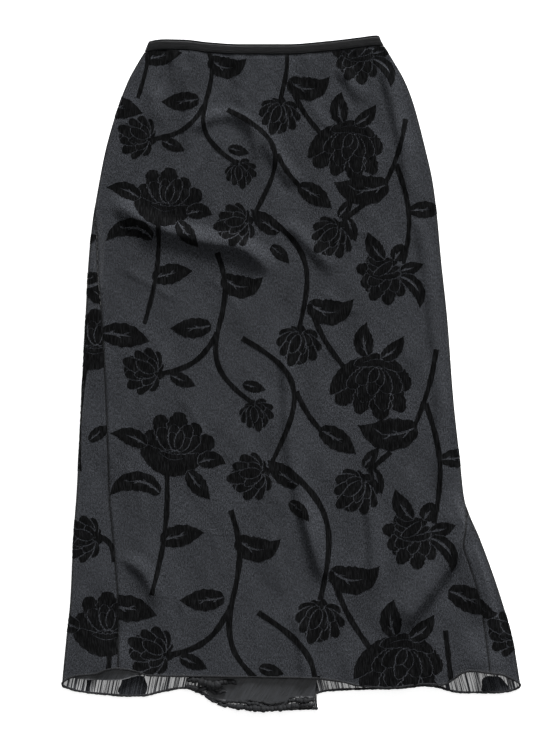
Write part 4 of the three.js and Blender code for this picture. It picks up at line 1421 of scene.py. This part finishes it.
def filler(low, high):
    """Points in staggered rows between two corners."""
    columns = np.arange(low[0], high[0], PILE_GRID)
    gx, gy = np.meshgrid(columns, np.arange(low[1], high[1], PILE_GRID * 0.9))
    gx = gx + np.where(np.arange(len(gx)) % 2, PILE_GRID / 2, 0)[:, None]
    return np.stack([gx.ravel(), gy.ravel()], -1)


def pile_triangles(marks, region):
    """Points and triangles of the cloth that carry pile: a triangulation that keeps every outline and
    the panel's edge as edges, from which the triangles are kept whose last mark puts pile down."""
    everything = np.vstack([outline for outline, _ in marks])
    low, high = everything.min(axis=0) - 1, everything.max(axis=0) + 1
    if (region.max(axis=0) < low).any() or (region.min(axis=0) > high).any():
        return np.zeros((0, 2)), np.zeros((0, 3), int)
    points, edges, count = [], [], 0
    for outline, _ in marks:
        points.append(outline)
        edges.append(ring_edges(outline, count))
        count += len(outline)
    touching = ((region > low - EDGE_REACH) & (region < high + EDGE_REACH)).all(axis=1)
    touching |= np.roll(touching, 1)
    if touching.any():
        points.append(region)
        edges.append(ring_edges(region, count)[touching & np.roll(touching, -1)])
    points.append(filler(low, high))
    points = np.vstack(points)
    edges = np.vstack(edges)
    found = delaunay_2d_cdt([tuple(p) for p in points], [tuple(map(int, e)) for e in edges], [], 0, 1e-3)
    flat = np.array([tuple(p) for p in found[0]])
    triangles = np.array([f for f in found[2] if len(f) == 3])
    centres = flat[triangles].mean(axis=1)
    pile = np.zeros(len(triangles), bool)
    for outline, fills in marks:
        pile[contains(outline, centres)] = fills
    pile &= contains(region, centres)
    a, b, c = (flat[triangles[:, k]] for k in range(3))
    area = (b[:, 0] - a[:, 0]) * (c[:, 1] - a[:, 1]) - (b[:, 1] - a[:, 1]) * (c[:, 0] - a[:, 0])
    pile &= np.abs(area) > THIN
    triangles = np.where((area < 0)[:, None], triangles[:, ::-1], triangles)[pile]
    used, renumbered = np.unique(triangles, return_inverse=True)
    return flat[used], renumbered.reshape(-1, 3)


leaf_place = np.array([0.0, 400.0])
wide_region = np.array([[-300.0, 0.0], [300.0, 0.0], [300.0, 800.0], [-300.0, 800.0]])
leaf_triangles = pile_triangles(STENCILS["comma"].placed(leaf_place), wide_region)[1]
print("a comma leaf is cut into", len(leaf_triangles), "triangles")

# %% Islands with walls
PILE_ROOT = 0.2  # how far the pile's underside sinks into the chiffon


def rim_of(triangles):
    """The directed edges that only one triangle has."""
    directed = np.concatenate([triangles[:, [0, 1]], triangles[:, [1, 2]], triangles[:, [2, 0]]])
    size = int(triangles.max()) + 1
    key = directed[:, 0] * size + directed[:, 1]
    back = directed[:, 1] * size + directed[:, 0]
    return directed[~np.isin(key, back)]


def velvet_piece(name, groups, region, turned=False):
    """The raised pile of a panel as one mesh of closed islands: the triangles at the height of the
    pile, the same ones turned over just inside the chiffon, and walls along the rim."""
    all_points, all_faces, sharp_pairs, flats, count = [], [], [], [], 0
    for marks in groups:
        flat, triangles = pile_triangles(marks, region)
        if len(triangles) == 0:
            continue
        u, down = flat[:, 0], flat[:, 1]
        rim = rim_of(triangles)
        lift = seam_lift(u, down)
        top = drape(u, down, lift + PILE)
        bottom = drape(u, down, lift - PILE_ROOT)
        size = len(flat)
        walls = np.stack([rim[:, 0], rim[:, 1], rim[:, 1] + size, rim[:, 0] + size], -1)
        upper, lower = triangles[:, ::-1], triangles + size
        faces = [upper + count, lower + count, walls + count]
        if turned:
            faces = [f[:, ::-1] for f in faces]
        all_points += [top, bottom]
        flats += [flat, flat]
        all_faces += faces
        sharp_pairs += [rim + count, rim + count + size]
        count += 2 * size
    sharp = np.vstack(sharp_pairs)
    return new_object(name, np.vstack(all_points), all_faces, np.vstack(flats), sharp=sharp)


def ring_of(u, down):
    """The edge of a panel as one closed line of places, from its grid."""
    rows = [(u[0, :-1], down[0, :-1]), (u[:-1, -1], down[:-1, -1]), (u[-1, :0:-1], down[-1, :0:-1]),
            (u[:0:-1, 0], down[:0:-1, 0])]
    return np.concatenate([np.stack(row, -1) for row in rows])


front_velvet = velvet_piece("front_velvet", front_groups, ring_of(front_u, front_down))

# %% Flowers of the strips and the underside
UNDERSIDE_SHIFT = {"left": (-388, -64), "right": (392, -38)}  # the same sprays, further along the cloth
WINDOWS_DOWN = 815  # below this the hem lets light in, and no flower of the underside lies there
PAST_FOLD = 8  # flowers of the underside lie at least this far past the side fold
STRIP_STEMS = {  # start, end, bow, swing
    "left": [((-271, 424), (-281, 572), -5, 0), ((-262, 655), (-235, 692), 10, 0),
             ((-241, 800), (-243, 846), 1, 0), ((-345, 790), (-344, 866), 0, 0)],
    "right": [((300, 690), (292, 770), 0, 0)],
}
STRIP_FLOWERS = {  # kind, across, down, size, turn
    "left": [("side", -246, 791, 1.0, 0), ("side", -262, 412, 0.94, 0), ("bud", -277, 660, 1.12, 0),
             ("cut petal", -404, 860, 1.0, 0), ("oval", -277, 269, 0.46, -30), ("oval", -280, 318, 0.62, -12),
             ("broad", -226, 330, 0.62, 0), ("oval", -268, 531, 0.66, -38)],
    "right": [("bud", 289, 784, 1.15, 10), ("cut petal", 344, 860, 0.95, 0), ("comma", 249, 741, 0.6, 30)],
}


def back_flowers(side):
    """The strip's own marks, and the front's sprays moved along to the underside, without those that
    would reach over the side fold."""
    groups = stem_marks(STRIP_STEMS[side]) + flower_marks(STRIP_FLOWERS[side])
    taken = np.vstack([np.vstack([outline for outline, _ in marks]) for marks in groups])
    for marks in front_groups:
        moved = [(outline + UNDERSIDE_SHIFT[side], pile) for outline, pile in marks]
        places = np.vstack([outline for outline, _ in moved])
        if side == "left":
            past = (places[:, 0] < left_edge(places[:, 1]) - PAST_FOLD).all()
        else:
            past = (places[:, 0] > right_edge(places[:, 1]) + PAST_FOLD).all()
        low, high = places.min(axis=0) - 3, places.max(axis=0) + 3
        past = past and (places[:, 1] < WINDOWS_DOWN).all()
        if past and not ((taken > low) & (taken < high)).all(axis=1).any():
            groups.append(moved)
    return groups


back_velvets = {side: velvet_piece("back_%s_velvet" % side, back_flowers(side), ring_of(*back_grids[side]))
                for side in ("left", "right")}

# %% [markdown]
# ## Finishes
#
# Shader sums are easier to read as sums. A small class holds a node's output and adds a Math node for
# each operator, so `1 - mask` builds a Subtract node. Everything else comes from one method that takes a
# node's type, its settings and its inputs.

# %% Sums on sockets


class Wire:
    """A node's output, which can be added, multiplied and so on."""

    def __init__(self, recipe, socket):
        self.recipe = recipe
        self.socket = socket

    def maths(self, operation, first, second):
        """A Math node."""
        return self.recipe.node("ShaderNodeMath", {"operation": operation}, [first, second])

    def __add__(self, other):
        return self.maths("ADD", self, other)

    def __radd__(self, other):
        return self.maths("ADD", other, self)

    def __sub__(self, other):
        return self.maths("SUBTRACT", self, other)

    def __rsub__(self, other):
        return self.maths("SUBTRACT", other, self)

    def __mul__(self, other):
        return self.maths("MULTIPLY", self, other)

    def __rmul__(self, other):
        return self.maths("MULTIPLY", other, self)

    def __truediv__(self, other):
        return self.maths("DIVIDE", self, other)


print("sums that a wire can do: add, subtract, multiply and divide")

# %% A recipe for a material


class Recipe:
    """A material with a Principled shader, made a node at a time."""

    def __init__(self, name):
        self.material = bpy.data.materials.new(name)
        self.material.use_nodes = True
        self.tree = self.material.node_tree
        self.shader = self.tree.nodes["Principled BSDF"]

    def connect(self, value, socket):
        """Links a wire to a socket, or sets a plain value on it."""
        if isinstance(value, Wire):
            self.tree.links.new(value.socket, socket)
        else:
            socket.default_value = value

    def node(self, kind, settings=None, inputs=(), output=0):
        """Adds any node: settings first, then its inputs by name or by number."""
        node = self.tree.nodes.new(kind)
        for name, value in (settings or {}).items():
            setattr(node, name, value)
        pairs = inputs.items() if isinstance(inputs, dict) else enumerate(inputs)
        for key, value in pairs:
            self.connect(value, node.inputs[key])
        return Wire(self, node.outputs[output])

    def blend(self, share, first, second):
        """A colour between two others."""
        return self.node("ShaderNodeMix", {"data_type": "RGBA"}, {0: share, 6: first, 7: second}, output=2)

    def noise(self, x, y, detail=2.0, roughness=0.5):
        """Noise whose grains are one unit across in x and y."""
        place = self.node("ShaderNodeCombineXYZ", inputs=[x, y, 0.0])
        return self.node("ShaderNodeTexNoise", {"noise_dimensions": "2D"},
                         {"Vector": place, "Scale": 1.0, "Detail": detail, "Roughness": roughness})

    def clamp(self, value):
        """The value, but no less than 0 and no more than 1."""
        return self.node("ShaderNodeMapRange", {"clamp": True}, [value, 0.0, 1.0, 0.0, 1.0])

    def cloth_place(self):
        """Millimetres across and down the flat cloth, from the UV map."""
        place = self.node("ShaderNodeUVMap", {"uv_map": "cloth"})
        split = self.node("ShaderNodeSeparateXYZ", inputs=[place])
        down = Wire(self, split.socket.node.outputs[1])
        return split * 1000, down * 1000

    def finish(self, height=None, depth=0.0, **sockets):
        """Sets the shader's sockets, written with _ for a space, and a bump of `depth` mm."""
        for name, value in sockets.items():
            self.connect(value, self.shader.inputs[name.replace("_", " ")])
        if height is not None:
            bump = self.node("ShaderNodeBump", None,
                             {"Strength": 1.0, "Distance": depth * MM, "Height": height})
            self.connect(bump, self.shader.inputs["Normal"])
        return self.material


print("methods:", [name for name in vars(Recipe) if not name.startswith("_")])

# %% Dark greys, faintly blue
COOL = (0.93, 0.98, 1.11)  # shares of red, green and blue
COOLER = (0.91, 0.98, 1.14)
GRAIN_LEAN = 0.056  # how far the cloth's grain leans to the right for each mm down


def grey(level, tint=COOL):
    """A tinted grey of the given strength: the tint times the level."""
    return (level * tint[0], level * tint[1], level * tint[2], 1)


print("the chiffon's light grey:", [round(share, 3) for share in grey(0.060, COOLER)])

# %% [markdown]
# ### Crinkled chiffon
#
# The chiffon is woven from tightly twisted threads, so it shrinks into uneven pebbles, 1 to 1.5 mm
# apart, and lets light through between them. On the underside it is stretched flat, and the light comes
# through as straight stripes along the grain. An image of cloth would repeat, and noise doesn't, so
# noise gives both. The notes written on each panel's points say where the cloth is doubled, turned or
# stretched.

# %% Chiffon


def chiffon_material():
    """Chiffon that is dense on top, where it lies on the lining, and stretched sheer on the underside.
    It is darker and closer at a seam, where the allowance doubles it. It is closer where it turns at the
    side, and painted darker there as shade. Crinkle ridges and pebble tops are painted lighter as glints."""
    recipe = Recipe("crinkled chiffon")
    across, down = recipe.cloth_place()
    seam, fold, upper = (recipe.node("ShaderNodeAttribute", {"attribute_name": name}, output=2)
                         for name in ("seam", "fold", "upper"))
    along_grain = across - down * GRAIN_LEAN
    crinkle = recipe.noise(along_grain / 1.5, down / 3.6, 2.0, 0.6)
    pebble = recipe.noise(across / 1.0, down / 1.15, 2.0, 0.7)
    fine = recipe.noise(across / 0.5, down / 0.6, 2.0)
    patches = recipe.noise(across / 60, down / 90, 2.0)
    stripe = recipe.noise(along_grain / 1.25, down / 90, 1.0)
    ridge_share = recipe.clamp((crinkle - 0.38) * 4.2)
    # painted glints: the pebble tops are painted lighter in the colour
    pebble_glint = recipe.clamp((pebble - 0.36) * 3.6)
    closeness_and_fold_shade = recipe.clamp(seam + fold)
    # painted light and shade: crinkle ridges and pebbles lighter, the side fold darker; a seam is darker from
    # its doubled allowance
    tone = recipe.clamp(ridge_share * 0.22 + pebble_glint * 0.78 + patches * 0.24 - 0.12 - closeness_and_fold_shade * 0.75)
    colour = recipe.blend(tone, grey(0.0045, COOLER), grey(0.060, COOLER))
    on_top = ridge_share * 0.34 + 0.6
    beneath = recipe.clamp((stripe - 0.44) * 6.0) * 0.62 + 0.3
    alpha = recipe.clamp(on_top * upper + beneath * (1 - upper) + fine * 0.06 + closeness_and_fold_shade * 0.4)
    height = crinkle * 0.5 + pebble * 0.9 + fine * 0.12
    return recipe.finish(height, 1.0, Base_Color=colour, Alpha=alpha, Roughness=0.78,
                         Specular_IOR_Level=0.2)


chiffon = chiffon_material()
print(chiffon.name, "has", len(chiffon.node_tree.nodes), "nodes")

# %% [markdown]
# ### Velvet pile
#
# Pile swallows light, so velvet is nearly black, with paler streaks along the grain that are painted
# sheen, where the crinkled pile catches the light. Hairs would be the true way, but there are far too
# many. A dark, rough surface with stretched noise looks the same at this distance.

# %% Velvet
SHEEN_STREAK_TINT = (0.97, 1.0, 1.08)


def velvet_material():
    """Nearly black, with painted sheen in streaks about 1 mm wide and 13 mm long along the grain."""
    recipe = Recipe("velvet pile")
    across, down = recipe.cloth_place()
    along_grain = across - down * GRAIN_LEAN
    crinkle = recipe.noise(along_grain / 0.95, down / 13.0, 2.0, 0.6)
    fuzz = recipe.noise(across / 0.5, down / 0.6, 2.0)
    # painted sheen: paler streaks where the crinkled pile catches the light
    sheen_streak = recipe.clamp((crinkle - 0.48) * 5.0)
    colour = recipe.blend(sheen_streak, grey(0.0012, SHEEN_STREAK_TINT), grey(0.0092, SHEEN_STREAK_TINT))
    height = crinkle * 0.8 + fuzz * 0.25
    return recipe.finish(height, 0.5, Base_Color=colour, Roughness=0.95, Specular_IOR_Level=0.04,
                         Sheen_Weight=0.02, Sheen_Roughness=0.5)


velvet = velvet_material()
print(velvet.name, "has", len(velvet.node_tree.nodes), "nodes")

# %% [markdown]
# ### Satin of the lining and the band
#
# Satin is smooth, because its threads float over each other, so it has a soft shine. The lining is
# creased on the slant, and the band is pressed along its length. Noise that is stretched along the
# creases gives both, in the bump and in the colour, whose paler and darker bands are painted sheen and
# shade. The inside of the band is nearly black as painted shade.

# %% Lining and band
SLANT_WAY = (0.84, 0.54)  # cosine and sine of the slant of the lining's creases


def lining_material():
    """Creases about 2.6 mm apart and 26 mm long on the slant, over a fine weave."""
    recipe = Recipe("lining satin")
    across, down = recipe.cloth_place()
    cosine, sine = SLANT_WAY
    over = across * cosine + down * sine
    along = down * cosine - across * sine
    slant = recipe.noise(over / 2.6, along / 26, 3.0, 0.6)
    weave = recipe.noise(across / 0.4, down / 2.6, 2.0)
    # painted sheen and shade: the colour's paler and darker bands follow the slanted creases
    colour = recipe.blend(recipe.clamp((slant - 0.3) * 2.4), grey(0.011), grey(0.028, (0.9, 0.98, 1.13)))
    rough = recipe.clamp(0.42 + weave * 0.2)
    return recipe.finish(slant * 1.0 + weave * 0.15, 0.8, Base_Color=colour, Roughness=rough,
                         Specular_IOR_Level=0.45)


def satin_material():
    """Long lines along the band, over a fine weave."""
    recipe = Recipe("band satin")
    across, down = recipe.cloth_place()
    lines = recipe.noise(across / 14, down / 0.8, 3.0, 0.55)
    weave = recipe.noise(across / 0.5, down / 0.5, 2.0)
    # painted sheen: the paler lines along the band follow its pressed creases
    colour = recipe.blend(recipe.clamp((lines - 0.34) * 2.8), grey(0.0012, COOLER), grey(0.0062, COOLER))
    rough = recipe.clamp(0.4 + weave * 0.2)
    return recipe.finish(lines * 0.8 + weave * 0.2, 0.4, Base_Color=colour, Roughness=rough,
                         Specular_IOR_Level=0.16)


def inside_shade_material():
    """Nearly black, as painted shade inside the back of the band, over a dull, even weave."""
    recipe = Recipe("inside of the band")
    across, down = recipe.cloth_place()
    weave = recipe.noise(across / 0.6, down / 0.6, 2.0)
    # nearly black: painted shade where the back of the band peeps out above the front
    colour = recipe.blend(weave, grey(0.002), grey(0.007))
    return recipe.finish(weave, 0.2, Base_Color=colour, Roughness=0.9, Specular_IOR_Level=0.1)


satin_lining = lining_material()
band_satin, band_inside_shade = satin_material(), inside_shade_material()
print("materials so far:", [made.name for made in bpy.data.materials])

# %% [markdown]
# ### Rolled hems, and the paper underneath
#
# A rolled hem is chiffon wound round itself, so it is darker than one layer and its crinkle runs round
# it slantwise: noise that is sheared along the cord. The paper is plain. It glows a little, so that it
# stays pale under a low sun, and no stronger lamp is needed for it.

# %% Hems and paper


def hem_material():
    """Dark crinkle that winds round the cord: its noise is sheared, along + 0.6 around."""
    recipe = Recipe("rolled hem")
    along, around = recipe.cloth_place()
    twist = recipe.noise((along + around * 0.6) / 1.1, around / 2.0, 3.0, 0.6)
    colour = recipe.blend(recipe.clamp((twist - 0.3) * 2.4), grey(0.003), grey(0.015))
    return recipe.finish(twist, 0.6, Base_Color=colour, Roughness=0.8, Specular_IOR_Level=0.25)


def floor_material():
    """Nearly even pale grey, with noise that reads Object coordinates."""
    recipe = Recipe("pale paper")
    place = recipe.node("ShaderNodeTexCoord", output=3)
    split = recipe.node("ShaderNodeSeparateXYZ", inputs=[place])
    tone = recipe.noise(split * 40, Wire(recipe, split.socket.node.outputs[1]) * 40, 3.0)
    colour = recipe.blend(tone, (0.93, 0.93, 0.93, 1), (0.96, 0.96, 0.96, 1))
    return recipe.finish(Base_Color=colour, Roughness=0.9, Specular_IOR_Level=0.1,
                         Emission_Color=(1, 1, 1, 1), Emission_Strength=0.6)


rolled = hem_material()
paper = floor_material()
print(rolled.name, "and", paper.name)

# %% Dressing the pieces
DRESS = [  # pieces, then their materials
    ((front, *backs.values()), (chiffon,)),
    ((front_velvet, *back_velvets.values()), (velvet,)),
    ((front_lining, back_lining), (satin_lining,)),
    ((band,), (band_satin, band_inside_shade)),
    ((front_cord, *back_cords.values(), *bunches, *frays), (rolled,)),
    ((floor,), (paper,)),
]
for things, finishes in DRESS:
    for thing in things:
        for finish in finishes:
            thing.data.materials.append(finish)
print("dressed:", sum(len(things) for things, _ in DRESS), "objects")

# %% [markdown]
# ## Fixing each piece to the frame's body
#
# Every piece rides on the frame's one body and stands for one of its solids, which is hidden. The flat
# area that each sheet's cloth was cut to is worked out as well.

# %% Bodies, and the solids that the pieces stand for


def stands_for(thing, node):
    """Fixes a piece to the body, and hides the solid that it stands for."""
    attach(thing, "root")
    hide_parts(node)


for thing in (front, front_cord, front_velvet):
    stands_for(thing, "front_panel")
for side in ("left", "right"):
    for thing in (backs[side], back_cords[side], back_velvets[side]):
        stands_for(thing, "back_panel_%s" % side)
for thing in bunches:
    stands_for(thing, "back_panel_left")
for thing in frays:
    stands_for(thing, "back_lining")
stands_for(front_lining, "front_lining")
stands_for(back_lining, "back_lining")
stands_for(band, "waistband")

# %% Sheets and their cut


def cut_area(u, down):
    """Flat area of a panel: the sum of its small rectangles on the unrolled cloth, in square metres."""
    wide = np.abs(np.diff(u, axis=1))
    tall = np.abs(np.diff(down, axis=0))
    wide = (wide[1:] + wide[:-1]) / 2
    tall = (tall[:, 1:] + tall[:, :-1]) / 2
    return float((wide * tall).sum()) * MM * MM


front_area = cut_area(front_u, front_down)
print("front cut: %.4f m2" % front_area)
for side in ("left", "right"):
    area = cut_area(*back_grids[side])
    print("back %s cut: %.4f m2" % (side, area))
    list(bunches if side == "left" else [])
